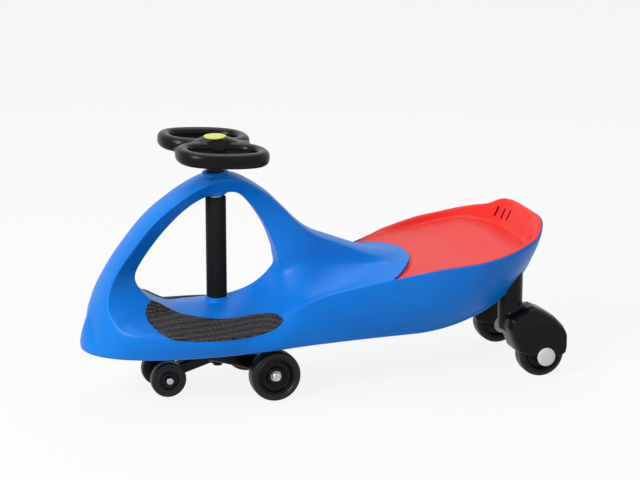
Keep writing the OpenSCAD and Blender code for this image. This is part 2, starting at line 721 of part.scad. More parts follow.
// Wheels, turned about an axis along Y at the origin
module ring_y(outer, bore, w) {
    rotate([-90, 0, 0]) translate([0, 0, -w / 2]) tube(outer, bore, w);
}
module tyre(r, w, wall) {
    e = min(tyre_round, wall / 2, w / 3);
    rotate([-90, 0, 0]) rotate_extrude() union() {
        translate([r - wall, -w / 2]) square([wall - e, w]);
        translate([r - wall, e - w / 2]) square([wall, w - 2 * e]);
        for (s = [-1, 1]) translate([r - e, s * (w / 2 - e)]) circle(r = e);
    }
}
// Hub: a rim, a web and a boss of its own length, bored for the axle
module wheel_hub(r, w, bore, boss, boss_l) {
    difference() {
        union() {
            ring_y(r, r - hub_boss_wall, w);
            ring_y(r - hub_boss_wall / 2, bore, hub_web);
            ring_y(boss, bore, boss_l);
        }
        rotate([-90, 0, 0]) translate([0, 0, -w]) cylinder(h = 2 * w, r = bore);
    }
}

module main_at(side) {
    translate([main_axle_x, side * main_track / 2, main_r]) children();
}
bearing_span = main_w - 2 * bearing_inset;
module main_wheel(side) {
    color(black) main_at(side) difference() {
        wheel_hub(main_r - tyre_wall - run_gap, main_w, axle_r + wheel_gap,
            bearing_r + hub_boss_wall, bearing_span);
        for (s = [-1, 1]) translate([0, s * bearing_span / 2, 0])
            ring_y(bearing_r + run_gap, axle_r, 2 * bearing_w);
    }
}
module main_tyre(side) {
    color(black) main_at(side) tyre(main_r, main_w, tyre_wall);
}
module main_bearings(side) {
    color(steel) main_at(side) for (s = [-1, 1])
        translate([0, s * (bearing_span - bearing_w) / 2, 0])
            ring_y(bearing_r, axle_r + run_gap, bearing_w);
}
module main_axle() {
    color(steel) bar_across(main_axle_x, main_r, axle_r, main_track + bearing_span + nut_h);
}
// Nuts on the ends of an axle
module axle_nuts(x, z, reach, r) {
    for (s = [0, 1]) mirror([0, s, 0]) translate([x, reach, z]) rotate([-90, 0, 0]) difference() {
        cylinder(h = nut_h, r = r, $fn = 6);
        translate([0, 0, -overrun]) cylinder(h = nut_h, r = axle_r + run_gap);
    }
}
module main_axle_nuts() {
    color(steel) axle_nuts(main_axle_x, main_r, (main_track + bearing_span) / 2, nut_r);
}

module front_wheel(side) {
    color(black) translate([front_axle_x, side * front_track / 2, front_axle_z]) union() {
        tyre(front_r, front_w, tyre_wall);
        wheel_hub(front_r - tyre_wall / 2, front_w / 2, axle_r + run_gap,
            axle_r + hub_boss_wall, front_boss_l);
    }
}
module front_axle() {
    color(steel) bar_across(front_axle_x, front_axle_z, axle_r, front_track + front_boss_l + nut_h);
}
module front_axle_nuts() {
    color(steel) axle_nuts(front_axle_x, front_axle_z, (front_track + front_boss_l) / 2, nut_r);
}

// Rear legs
hood_r = rear_r + hood_gap + hood_wall;
// Outline of the hood round the axle as shares of its radius, from the post's front down and round to
// the post's back, and the outline of its outer face
hood_shares = [[1.21, 2.00], [1.33, 1.04], [1.13, 0.57], [0.99, 0.20], [0.65, 0.07], [0.00, -0.02],
    [-0.57, -0.02], [-0.76, 0.07], [-0.80, 0.26], [-0.80, 0.83], [-0.70, 1.04], [-0.46, 1.30],
    [-0.04, 1.57], [0.30, 1.76], [0.53, 2.00]];
hood_face_shares = [[0.72, 0.93], [0.85, 0.83], [0.89, 0.57], [0.89, 0.26], [0.61, 0.09], [0.00, -0.02],
    [-0.57, -0.02], [-0.74, 0.07], [-0.78, 0.26], [-0.78, 0.83], [-0.67, 1.02], [-0.43, 1.20],
    [-0.07, 1.24], [0.22, 1.18], [0.48, 1.09]];
// Sections across the hood from its outer to its inner side: place, blend of the two outlines and size
hood_row_shares = [[0.50, 0, 0.98], [0.48, 0.31, 1], [0.44, 0.52, 1], [0.38, 0.71, 1], [0.30, 0.86, 1],
    [0.20, 0.96, 1], [0.09, 1, 1], [-0.36, 1, 1], [-0.44, 1, 0.99], [-0.50, 1, 0.95]];
function hood_ring(row) = [for (i = [0 : len(hood_shares) - 1])
    let (q = hood_r * row[2] * blend(hood_face_shares[i], hood_shares[i], row[1]))
    [q[0], hood_w * row[0], q[1]]];
module rear_leg(side) {
    y = rear_track / 2;
    color(black) mirror([0, side < 0 ? 1 : 0, 0]) difference() {
        union() {
            translate([post_x, post_spacing / 2, rear_r + hood_r])
                cylinder(h = post_top_z - rear_r - hood_r, r = post_r);
            translate([rear_axle_x, y, rear_r]) loft([for (row = hood_row_shares) hood_ring(row)]);
            translate([rear_axle_x, y, rear_r]) rotate([-90, 0, 0])
                cylinder(h = hood_w - 2 * end_gap, r = rear_axle_r + boss_wall, center = true);
        }
        translate([rear_axle_x, y, rear_r]) rotate([-90, 0, 0])
            translate([0, 0, -rear_w / 2 - hood_slot_gap])
                cylinder(h = rear_w + 2 * hood_slot_gap, r = rear_r + hood_gap);
        translate([rear_axle_x, y, rear_r]) rotate([-90, 0, 0])
            translate([0, 0, -hood_w]) cylinder(h = 2 * hood_w, r = rear_axle_r + run_gap);
        translate([post_x, post_spacing / 2, post_top_z - screw_l])
            cylinder(h = screw_l + overrun, r = screw_r + run_gap);
    }
}
module rear_at(side) {
    translate([rear_axle_x, side * rear_track / 2, rear_r]) children();
}
module rear_axle(side) {
    color(steel) rear_at(side) rotate([-90, 0, 0]) translate([0, 0, -hood_w / 2 - cap_t / 2])
        cylinder(h = hood_w + cap_t, r = rear_axle_r);
}
module rear_axle_caps(side) {
    color(white) rear_at(side) for (s = [0, 1]) mirror([0, s, 0])
        translate([0, hood_w / 2, 0]) rotate([-90, 0, 0]) difference() {
            cylinder(h = cap_t, r = cap_r);
            translate([0, 0, -overrun]) cylinder(h = cap_t / 2 + overrun, r = rear_axle_r + run_gap);
        }
}
module rear_wheel(side) {
    color(black) rear_at(side) wheel_hub(rear_r - rear_tyre_wall - run_gap, rear_w, rear_axle_r + run_gap,
        rear_axle_r + hub_boss_wall, rear_w + 2 * hood_slot_gap - 2 * end_gap);
}
module rear_tyre(side) {
    color(black) rear_at(side) tyre(rear_r, rear_w, rear_tyre_wall);
}
module leg_screws() {
    color(steel) for (side = [-1, 1]) translate([post_x, side * post_spacing / 2, 0]) {
        translate([0, 0, post_top_z - screw_l])
            cylinder(h = socket_top_z + washer_t - post_top_z + screw_l, r = screw_r);
        translate([0, 0, socket_top_z + washer_t]) cylinder(h = screw_head_h, r = screw_head_r);
    }
}
module leg_washers() {
    color(steel) for (side = [-1, 1]) translate([post_x, side * post_spacing / 2, socket_top_z])
        tube(leg_washer_r, screw_r + post_gap, washer_t);
}

body_shell();
seat_panel();
foot_mat(1);  // foot_mat_left
foot_mat(-1);  // foot_mat_right
column_sleeve();
upper_bush();
lower_bush();
thrust_washer();
rear_leg(1);  // rear_leg_left
rear_leg(-1);  // rear_leg_right
rear_axle(1);  // rear_axle_left
rear_axle(-1);  // rear_axle_right
rear_axle_caps(1);  // rear_axle_caps_left
rear_axle_caps(-1);  // rear_axle_caps_right
leg_screws();
leg_washers();
steering_wheel();
hub_cap();
hub_nut();
hub_washer();
steering_shaft();
truck_frame();
shaft_nut();
main_axle();
main_axle_nuts();
front_axle();
front_axle_nuts();
main_wheel(1);  // main_wheel_left
main_tyre(1);  // main_tyre_left
main_bearings(1);  // main_bearings_left
main_wheel(-1);  // main_wheel_right
main_tyre(-1);  // main_tyre_right
main_bearings(-1);  // main_bearings_right
front_wheel(1);  // front_wheel_left
front_wheel(-1);  // front_wheel_right
rear_wheel(1);  // rear_wheel_left
rear_tyre(1);  // rear_tyre_left
rear_wheel(-1);  // rear_wheel_right
rear_tyre(-1);  // rear_tyre_right
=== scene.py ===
"""Looks of the wiggle car: smooth moulded shells, wheels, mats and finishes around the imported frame.

Lengths are in metres unless a table says otherwise. X points forward, Y to the rider's left, Z up.
"""

import math

import bmesh
import bpy
import numpy as np
from mathutils import Matrix, Vector
from mathutils.bvhtree import BVHTree


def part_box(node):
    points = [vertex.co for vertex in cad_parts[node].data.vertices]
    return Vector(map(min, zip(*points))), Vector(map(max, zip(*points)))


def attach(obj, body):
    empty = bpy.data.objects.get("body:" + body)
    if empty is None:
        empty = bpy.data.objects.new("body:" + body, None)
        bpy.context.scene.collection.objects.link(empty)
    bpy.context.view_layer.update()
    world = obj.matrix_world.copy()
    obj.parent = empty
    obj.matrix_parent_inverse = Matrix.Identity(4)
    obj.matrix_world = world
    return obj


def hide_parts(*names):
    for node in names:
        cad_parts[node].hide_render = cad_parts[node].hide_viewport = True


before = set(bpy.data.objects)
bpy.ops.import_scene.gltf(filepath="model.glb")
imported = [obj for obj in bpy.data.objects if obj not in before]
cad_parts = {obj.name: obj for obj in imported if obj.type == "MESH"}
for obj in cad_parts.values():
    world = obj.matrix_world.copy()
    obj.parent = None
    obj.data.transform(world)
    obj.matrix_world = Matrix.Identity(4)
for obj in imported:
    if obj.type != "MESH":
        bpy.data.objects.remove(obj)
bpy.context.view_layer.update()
MM = 0.001

# Driving sizes of the body
BODY_LENGTH = 741 * MM
TAIL_SHARE = 0.0276
FRAME_LENGTH = BODY_LENGTH / (1 - TAIL_SHARE)
TAIL_X, NOSE_X = FRAME_LENGTH * (TAIL_SHARE - 0.5), FRAME_LENGTH / 2
BODY_HALF_W = 153 * MM
BASE_Z = 86 * MM
CROWN_Z = 350 * MM
BODY_RISE = CROWN_Z - BASE_Z
ARCH_HALF_W = 32 * MM
COLUMN_X = 163.98 * MM

# Rows of the hull from tail to nose: place along the length, half width at the rim and at the bottom
# as shares of half the width, rim and crest height as shares of the rise, and two powers of the top
HULL = np.array([
    [0.0276, 1.000, 0.540, 0.6290, 0.6290, 1.00, 1.80],
    [0.0360, 1.000, 0.550, 0.6250, 0.6250, 1.00, 1.80],
    [0.0430, 1.000, 0.557, 0.6150, 0.6150, 1.00, 1.80],
    [0.0500, 1.000, 0.565, 0.5970, 0.5970, 1.00, 1.80],
    [0.0570, 1.000, 0.572, 0.5780, 0.5780, 1.00, 1.80],
    [0.0650, 1.000, 0.580, 0.5640, 0.5640, 1.00, 1.80],
    [0.0780, 1.000, 0.595, 0.5540, 0.5540, 1.00, 1.80],
    [0.1181, 1.000, 0.636, 0.5270, 0.5270, 1.00, 1.80],
    [0.1640, 0.995, 0.645, 0.4980, 0.4980, 1.00, 1.80],
    [0.2139, 0.980, 0.626, 0.4750, 0.4750, 1.00, 1.80],
    [0.2900, 0.873, 0.602, 0.4414, 0.4386, 1.00, 1.80],
    [0.3071, 0.846, 0.602, 0.4310, 0.4318, 1.00, 1.80],
    [0.3504, 0.771, 0.604, 0.4022, 0.4432, 1.00, 1.80],
    [0.4121, 0.687, 0.608, 0.3624, 0.4773, 1.00, 1.80],
    [0.4711, 0.630, 0.619, 0.3244, 0.5417, 1.00, 1.80],
    [0.5000, 0.607, 0.628, 0.3056, 0.5871, 1.00, 1.80],
    [0.5354, 0.595, 0.639, 0.2792, 0.6439, 1.00, 1.80],
    [0.5591, 0.595, 0.649, 0.2566, 0.6023, 1.00, 1.80],
    [0.5814, 0.600, 0.663, 0.2200, 0.5189, 1.00, 1.80],
    [0.5997, 0.607, 0.675, 0.1820, 0.4091, 1.00, 1.80],
    [0.6312, 0.631, 0.696, 0.1280, 0.3258, 1.09, 1.71],
    [0.6706, 0.663, 0.712, 0.1060, 0.2727, 1.37, 1.43],
    [0.7100, 0.708, 0.716, 0.1030, 0.2424, 1.66, 1.14],
    [0.7493, 0.740, 0.719, 0.1060, 0.2273, 1.80, 1.00],
    [0.8163, 0.758, 0.719, 0.1230, 0.2292, 1.80, 1.00],
    [0.8806, 0.789, 0.719, 0.1530, 0.2500, 1.80, 1.00],
    [0.9331, 0.830, 0.719, 0.1780, 0.2600, 1.80, 1.00],
    [0.9803, 0.830, 0.719, 0.2400, 0.2500, 1.80, 1.00],
    [1.0000, 0.830, 0.719, 0.2700, 0.2500, 1.80, 1.00],
])
TAIL_START, TAIL_POWER, TAIL_ROOT = 0.2375, 2.2, 0.3
NOSE_START, NOSE_POWER, NOSE_ROOT = 0.68, 2.8, 0.45
SWEEP_START, SWEEP_RISE, SWEEP_POWER = 0.32, 0.47, 1.9
NOSE_RAKE = 14 * MM
END_HALF_W = 2.5 * MM
EDGE_R = 8 * MM
RIM_R = 4 * MM
SIDE_BULGE = 0.06

# Rows of the arch from nose to neck: outer and inner point along the length and up the rise, and the
# half widths of its outer and inner edge as shares of the arch's half width
ARCH = np.array([
    [0.9816, 0.0530, 0.8000, 0.2000, 3.000, 1.400],
    [0.9830, 0.1970, 0.8520, 0.2820, 2.150, 1.080],
    [0.9715, 0.2992, 0.8790, 0.3470, 1.450, 0.781],
    [0.9514, 0.4205, 0.8905, 0.4250, 1.062, 0.562],
    [0.9199, 0.5644, 0.8753, 0.5152, 1.000, 0.438],
    [0.8635, 0.7576, 0.8333, 0.6667, 1.000, 0.406],
    [0.8058, 0.8864, 0.7887, 0.7879, 1.000, 0.406],
    [0.7559, 0.9659, 0.7480, 0.8598, 1.000, 0.438],
    [0.7152, 1.0000, 0.7152, 0.8788, 1.000, 0.469],
    [0.6680, 0.9811, 0.6772, 0.8826, 1.000, 0.438],
    [0.6168, 0.8902, 0.6483, 0.8144, 1.000, 0.406],
    [0.5801, 0.7879, 0.6168, 0.6780, 1.000, 0.438],
    [0.5459, 0.6856, 0.5958, 0.5341, 1.000, 0.562],
    [0.5105, 0.6098, 0.5761, 0.3561, 1.000, 0.812],
    [0.4606, 0.5492, 0.5000, 0.3182, 1.000, 0.938],
    [0.3950, 0.4773, 0.4213, 0.2992, 1.188, 1.125],
    [0.3228, 0.4280, 0.3425, 0.2992, 1.625, 1.562],
])
ARCH_SAG = 0.09
NOSE_SAG, NOSE_SAG_AT, NOSE_SAG_POWER = 15 * MM, 57 * MM, 2.5
ARCH_EDGE_R = 3 * MM


# Curves through tables

def hermite(a, b, da, db, u):
    return (a * (1 + 2 * u) * (1 - u) ** 2 + b * u ** 2 * (3 - 2 * u)
            + da * u * (1 - u) ** 2 - db * u ** 2 * (1 - u))


def curve(rows, column, x):
    """Smooth curve through a table's rows, whose first column is the place."""
    place, value = rows[:, 0], rows[:, column]
    last = len(place) - 1
    before = np.maximum(np.arange(last + 1) - 1, 0)
    after = np.minimum(np.arange(last + 1) + 1, last)
    slope = (value[after] - value[before]) / (place[after] - place[before])
    i = np.clip(np.searchsorted(place, x, side="right") - 1, 0, last - 1)
    h = place[i + 1] - place[i]
    return hermite(value[i], value[i + 1], h * slope[i], h * slope[i + 1], (x - place[i]) / h)


def along_rows(rows, v):
    """All columns of a table's rows, taken one after the other, at a fractional row number."""
    last = len(rows) - 1
    i = min(int(v), last - 1)
    before, after = max(i - 1, 0), min(i + 2, last)
    return hermite(rows[i], rows[i + 1], (rows[i + 1] - rows[before]) / 2,
                   (rows[after] - rows[i]) / 2, v - i)


def smooth(u):
    u = np.clip(u, 0, 1)
    return u * u * (3 - 2 * u)


def blend(a, b, u):
    return a + (b - a) * u


# The body's surfaces

def along(share):
    return FRAME_LENGTH * (share - 0.5)


def share_at(x):
    return x / FRAME_LENGTH + 0.5


def up(share):
    return BASE_Z + BODY_RISE * share


def end_round(t, power, root):
    return np.maximum(0, 1 - np.clip(t, 0, 1) ** power) ** root


def tail_round(x):
    return end_round((along(TAIL_START) - x) / (along(TAIL_START) - TAIL_X), TAIL_POWER, TAIL_ROOT)


def nose_round(x, tip):
    return end_round((x - along(NOSE_START)) / (tip - along(NOSE_START)), NOSE_POWER, NOSE_ROOT)


def rim_y(x):
    plain = BODY_HALF_W * curve(HULL, 1, share_at(x))
    return np.maximum(END_HALF_W, plain * tail_round(x) * nose_round(x, NOSE_X - NOSE_RAKE))


def bottom_y(x):
    plain = BODY_HALF_W * curve(HULL, 2, share_at(x))
    return np.maximum(END_HALF_W, plain * tail_round(x) * nose_round(x, NOSE_X))


def rim_z(x):
    return up(curve(HULL, 3, share_at(x)))


def crest_z(x):
    return up(curve(HULL, 4, share_at(x)))


def bottom_z(x):
    t = np.maximum(0, (along(SWEEP_START) - x) / (SWEEP_START * FRAME_LENGTH))
    return BASE_Z + BODY_RISE * SWEEP_RISE * t ** SWEEP_POWER


def top_z(x, y):
    """Height of the deck, the neck or the tub at a place in plan."""
    t = np.minimum(1, np.abs(y) / rim_y(x))
    p, q = curve(HULL, 5, share_at(x)), curve(HULL, 6, share_at(x))
    return rim_z(x) + (crest_z(x) - rim_z(x)) * (1 - t ** p) ** q


def nose_face(x):
    """Share of a section's height left at the leaning face of the nose."""
    return np.minimum(1, np.sqrt(np.maximum(0, (NOSE_X - x) / NOSE_RAKE)))


# Mesh helpers

MERGE_DIST = 1e-7


def rounded(corners, steps=5):
    """Closed outline through (x, y, radius) corners, each turned into a short curve."""
    out = []
    count = len(corners)
    for i, (x, y, r) in enumerate(corners):
        here = np.array([x, y], float)
        if r <= 0:
            out.append(here)
            continue
        ends = []
        for other in (corners[i - 1], corners[(i + 1) % count]):
            edge = np.array(other[:2], float) - here
            length = np.linalg.norm(edge)
            ends.append(here + edge / length * min(r, length / 2))
        for u in np.linspace(0, 1, steps):
            out.append(ends[0] * (1 - u) ** 2 + 2 * here * u * (1 - u) + ends[1] * u ** 2)
    return np.array(out)


def loft_mesh(rings, closed_ends=True, loop=False):
    """Vertices and faces of a skin through rings of points, outward for rings that turn leftwards."""
    rings = np.asarray(rings, float)
    m, n = rings.shape[:2]
    faces = []
    for i in range(m if loop else m - 1):
        a, b = i * n, (i + 1) % m * n
        for j in range(n):
            k = (j + 1) % n
            faces.append((a + j, a + k, b + k, b + j))
    if closed_ends and not loop:
        faces.append(tuple(range(n - 1, -1, -1)))
        faces.append(tuple((m - 1) * n + j for j in range(n)))
    return rings.reshape(-1, 3), faces


def new_object(name, verts, faces):
    """A mesh object whose closed surface faces outwards."""
    mesh = bpy.data.meshes.new(name)
    mesh.from_pydata([tuple(v) for v in verts], [], faces)
    mesh.validate()
    tidy = bmesh.new()
    tidy.from_mesh(mesh)
    bmesh.ops.remove_doubles(tidy, verts=tidy.verts, dist=MERGE_DIST)
    bmesh.ops.recalc_face_normals(tidy, faces=tidy.faces)
    if tidy.calc_volume(signed=True) < 0:
        bmesh.ops.reverse_faces(tidy, faces=tidy.faces)
    tidy.to_mesh(mesh)
    tidy.free()
    obj = bpy.data.objects.new(name, mesh)
    bpy.context.scene.collection.objects.link(obj)
    return obj


def apply_modifiers(obj):
    """Turns what the modifiers make into the object's own mesh."""
    depsgraph = bpy.context.evaluated_depsgraph_get()
    made = bpy.data.meshes.new_from_object(obj.evaluated_get(depsgraph))
    obj.modifiers.clear()
    obj.data = made
    return obj


def joined(name, objs):
    """One object holding the meshes of several."""
    mesh = bpy.data.meshes.new(name)
    whole = bmesh.new()
    for o in objs:
        whole.from_mesh(o.data)
    whole.to_mesh(mesh)
    whole.free()
    for o in objs:
        bpy.data.objects.remove(o)
    obj = bpy.data.objects.new(name, mesh)
    bpy.context.scene.collection.objects.link(obj)
    return obj


def voxel_union(obj, size):
    """One skin round all the closed meshes in an object."""
    modifier = obj.modifiers.new("skin", "REMESH")
    modifier.mode = "VOXEL"
    modifier.voxel_size = size
    return apply_modifiers(obj)


def cut(obj, *cutters):
    """Takes the cutters' volumes out of an object."""
    for cutter in cutters:
        modifier = obj.modifiers.new("cut", "BOOLEAN")
        modifier.operation = "DIFFERENCE"
        modifier.solver = "MANIFOLD"
        modifier.object = cutter
        apply_modifiers(obj)
        bpy.data.objects.remove(cutter)
    return obj


def shade(obj, angle=40):
    """Smooth shading with creases kept sharp."""
    obj.data.polygons.foreach_set("use_smooth", [True] * len(obj.data.polygons))
    obj.data.set_sharp_from_angle(angle=math.radians(angle))
    return obj


def points_of(obj):
    co = np.empty(len(obj.data.vertices) * 3, np.float32)
    obj.data.vertices.foreach_get("co", co)
    return co.reshape(-1, 3).astype(float)


def put_points(obj, co):
    obj.data.vertices.foreach_set("co", co.astype(np.float32).ravel())
    obj.data.update()


def relax(obj, rounds, weight=1.0, step=0.5):
    """Moves each vertex towards the middle of its neighbours, by its weight."""
    edges = np.empty(len(obj.data.edges) * 2, np.int32)
    obj.data.edges.foreach_get("vertices", edges)
    a, b = edges.reshape(-1, 2).T
    co = points_of(obj)
    count = np.maximum(np.bincount(a, minlength=len(co)) + np.bincount(b, minlength=len(co)), 1)
    pull = (step * np.broadcast_to(weight, len(co)))[:, None]
    for _ in range(rounds):
        mean = np.stack([np.bincount(a, co[b, k], len(co)) + np.bincount(b, co[a, k], len(co))
                         for k in range(3)], 1) / count[:, None]
        co += pull * (mean - co)
    put_points(obj, co)
    return obj


def tree_of(obj):
    """Search tree of an object's surface."""
    return BVHTree.FromPolygons([v.co for v in obj.data.vertices],
                                [p.vertices for p in obj.data.polygons])


def nearest_distance(obj, points):
    """Distance of each point from an object's surface."""
    tree = tree_of(obj)
    return np.array([tree.find_nearest(Vector(p))[3] for p in points])


# Turned pieces

def turned(name, profile, centre, axis="Z", steps=96, ring=False):
    """A profile of (radius, along, corner radius) turned about an axis through a point.

    A ring's profile is closed on itself; any other one starts and ends on the axis.
    """
    outline = rounded(profile, 6)
    rings = []
    for i in range(steps):
        c, s = math.cos(2 * math.pi * i / steps), math.sin(2 * math.pi * i / steps)
        if axis == "Z":
            rings.append([(r * c, r * s, d) for r, d in outline])
        else:
            rings.append([(r * c, d, -r * s) for r, d in outline])
    if ring:
        obj = new_object(name, *loft_mesh(rings, loop=True))
    else:
        obj = new_object(name, *loft_mesh(np.transpose(rings, (1, 0, 2))[1:-1]))
    obj.data.transform(Matrix.Translation(centre))
    return obj


def drum(name, r, low, high, centre, edge=1 * MM, axis="Z"):
    """A turned solid with rounded edges."""
    return turned(name, [(0, low, 0), (r, low, edge), (r, high, edge), (0, high, 0)], centre, axis)


def mid_of(node):
    low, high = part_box(node)
    return (Vector(low) + Vector(high)) / 2


# Body shell

HULL_STATIONS = 240
TOP_POINTS = 44
SIDE_POINTS = 10


def half_section(x):
    """One side of a hull section, from the middle of the bottom to the middle of the top."""
    yb, yr, zb = float(bottom_y(x)), float(rim_y(x)), float(bottom_z(x))
    k = float(nose_face(x))
    zr = max(zb + RIM_R, blend(zb, float(rim_z(x)), k))
    e = min(EDGE_R, yb / 2, (zr - zb) / 3)
    m = min(RIM_R, yr / 4)
    out = [(0, zb)]
    for a in np.linspace(0, math.pi / 2, 5):
        out.append((yb - e + e * math.sin(a), zb + e - e * math.cos(a)))
    for u in np.linspace(0, 1, SIDE_POINTS)[1:]:
        bulge = SIDE_BULGE * (zr - zb) * 4 * u * (1 - u)
        out.append((blend(yb, yr, u) + bulge, blend(zb + e, zr - m, u)))
    for u in (0.3, 0.6):
        out.append((yr - m * u * u, zr - m * (1 - u) ** 2))
    ys = (yr - m) * (1 - np.linspace(0, 1, TOP_POINTS))
    zs = np.maximum(zb + RIM_R, blend(zb, top_z(np.full_like(ys, x), ys), k))
    out.extend(zip(ys, zs))
    return out


def hull_object():
    rings = []
    for i in range(HULL_STATIONS, -1, -1):
        x = (TAIL_X + NOSE_X) / 2 - BODY_LENGTH / 2 * math.cos(math.pi * i / HULL_STATIONS)
        side = half_section(x)
        ring = [(x, y, z) for y, z in side] + [(x, -y, z) for y, z in side[-2:0:-1]]
        rings.append(ring)
    return new_object("hull", *loft_mesh(rings))


ARCH_STEPS = 12


def arch_section(depth, wo, wi):
    """Section of the arch in its own plane: across, and out from the inner edge to the outer face."""
    sag, r = max(ARCH_SAG * wo, NOSE_SAG * (wo / NOSE_SAG_AT) ** NOSE_SAG_POWER), ARCH_EDGE_R
    face = [(wo * u, depth - sag * u * u) for u in np.linspace(-0.86, 0.86, 9)]
    right = [(wo, depth - sag - r * 0.25), (wo, depth - sag - r)]
    right += [(blend(wo, wi, u), blend(depth - sag - r, r * 0.7, u)) for u in (0.25, 0.5, 0.75, 1)]
    right += [(wi * 0.94, r * 0.25), (wi * 0.75, 0)]
    return face + right + [(-a, b) for a, b in reversed(right)]


def arch_object():
    rings = []
    for i in range((len(ARCH) - 1) * ARCH_STEPS, -1, -1):
        row = along_rows(ARCH, i / ARCH_STEPS)
        outer = np.array([along(row[0]), up(row[1])])
        inner = np.array([along(row[2]), up(row[3])])
        depth = np.linalg.norm(outer - inner)
        out = (outer - inner) / depth
        section = arch_section(depth, ARCH_HALF_W * row[4], ARCH_HALF_W * row[5])
        rings.append([(inner[0] + out[0] * b, a, inner[1] + out[1] * b) for a, b in section])
    return new_object("arch", *loft_mesh(rings))


# Seat outline, shared by the tub and the seat

SEAT_FRONT = 0.381
SEAT_MID = 0.165
SEAM_BACK = 57 * MM
SEAT_T = 3 * MM
SEAT_GAP = 0.3 * MM
MIN_HALF_W = 1.5 * MM
OUTLINE_STEPS = 120
SEAM_STEPS = 40


def seam_x(y):
    """Front edge of the seat, a tongue of the neck reaching back over it."""
    front = along(SEAT_FRONT)
    return front - SEAM_BACK * (1 - (y / rim_y(front)) ** 2)


def seat_outline(inset, seam_inset):
    """Outline of the seat in plan: round the rim from one front tip to the other, then along the seam."""
    front, tail = along(SEAT_FRONT), TAIL_X + inset
    u = np.linspace(0, 1, OUTLINE_STEPS)
    xs = blend(front, tail, np.sin(math.pi / 2 * u))
    ys = np.maximum(MIN_HALF_W, rim_y(np.maximum(xs - inset * u, TAIL_X)) - inset)
    across = np.linspace(-ys[0], ys[0], SEAM_STEPS + 2)[1:-1]
    side = np.stack([xs, ys], 1)
    far = side[-2::-1] * [1, -1]
    seam = np.stack([seam_x(across) - seam_inset, across], 1)
    return np.concatenate([side, far, seam])


TUB_LEDGE = 5 * MM
TUB_DEPTH = 24 * MM
TUB_DRAFT = 12 * MM
TUB_FLOOR_T = 4 * MM
LEVEL_SHARE = 0.125
SEAT_DEPTH, FRONT_DEPTH = 11 * MM, 3 * MM
DEPTH_FROM, DEPTH_OVER = 0.36, 0.17 * FRAME_LENGTH
FRONT_FROM = 0.30
RIM_LEFT = 1.6 * MM
BOWL_SHARES = (0.85, 0.65, 0.45, 0.25)


def level_z(x):
    """Height of the rim without its rise at the tail."""
    return rim_z(np.maximum(x, along(LEVEL_SHARE)))


def seat_depth(x):
    """How far the seat's floor lies under the rim."""
    return blend(FRONT_DEPTH, SEAT_DEPTH, smooth((along(DEPTH_FROM) - x) / DEPTH_OVER))


def seat_edge_z():
    """Height of the seat's edge round its outline: at the rim, and down at the floor along the seam."""
    x = seat_outline(RIM_LEFT, 0)[:, 0]
    front = smooth((x - along(FRONT_FROM)) / (along(SEAT_FRONT) - along(FRONT_FROM)))
    front[2 * OUTLINE_STEPS - 1:] = 1
    return rim_z(x) - seat_depth(x) * front


def bowl_object(name, rings):
    """A closed cutter through rings of points, with a floor drawn in from the last ring."""
    mid = np.array([along(SEAT_MID), 0, rings[-1][:, 2].mean()])
    return new_object(name, *loft_mesh(rings + [mid + (rings[-1] - mid) * k for k in BOWL_SHARES]))


def tub_cutters():
    """The seat's place: a step inside the rim, and the tub inside it."""
    step_z = seat_edge_z() - SEAT_T - SEAT_GAP
    edge, inner = seat_outline(RIM_LEFT, 0), seat_outline(TUB_LEDGE + 2 * MM, 7 * MM)
    ledge = bowl_object("ledge", [np.column_stack([edge, np.full(len(edge), CROWN_Z)]),
                                  np.column_stack([edge, step_z]), np.column_stack([inner, step_z])])
    high, low = seat_outline(TUB_LEDGE, 5 * MM), seat_outline(TUB_LEDGE + TUB_DRAFT, 5 * MM)
    floor = np.maximum(bottom_z(low[:, 0]) + TUB_FLOOR_T, level_z(low[:, 0]) - TUB_DEPTH)
    tub = bowl_object("tub", [np.column_stack([high, np.full(len(high), CROWN_Z)]),
                              np.column_stack([high, np.maximum(floor, step_z)]),
                              np.column_stack([low, floor])])
    return ledge, tub


BODY_VOXEL = 1.6 * MM
JOIN_REACH, JOIN_ROUNDS, JOIN_GAIN = 12 * MM, 60, 1.4
CROWN_RING_R, CROWN_RING_H = 21 * MM, 9 * MM
CROWN_BOSS_R = 17 * MM
DECK_BOSS_R, DECK_BOSS_H = 19 * MM, 12 * MM
BUSH_SHOWS = 3.5 * MM
BELLY_SHARE, BELLY_L, BELLY_W, BELLY_T = 0.42, 110 * MM, 90 * MM, 2 * MM


def column_bosses():
    """The rings moulded round the column on the crown, under the arch and on the deck."""
    sleeve_low, sleeve_high = (v[2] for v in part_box("column_sleeve"))
    ring_top = CROWN_Z + 3 * MM
    at = (COLUMN_X, 0, 0)
    return [drum("crown_ring", CROWN_RING_R, ring_top - CROWN_RING_H, ring_top, at, 2 * MM),
            drum("crown_boss", CROWN_BOSS_R, sleeve_high + BUSH_SHOWS, CROWN_Z - 5 * MM, at, 2 * MM),
            drum("deck_boss", DECK_BOSS_R, sleeve_low - DECK_BOSS_H, sleeve_low - 0.2 * MM, at, 2 * MM)]


def belly_pad():
    """The low flat pad under the hull."""
    a, b, r = BELLY_L / 2, BELLY_W / 2, 4 * MM
    outline = rounded([(-a, -b, r), (a, -b, r), (a, b, r), (-a, b, r)], 5) + [along(BELLY_SHARE), 0]
    rings = [np.column_stack([outline, np.full(len(outline), z)])
             for z in (BASE_Z - BELLY_T, BASE_Z + BELLY_T)]
    return new_object("belly_pad", *loft_mesh(rings))


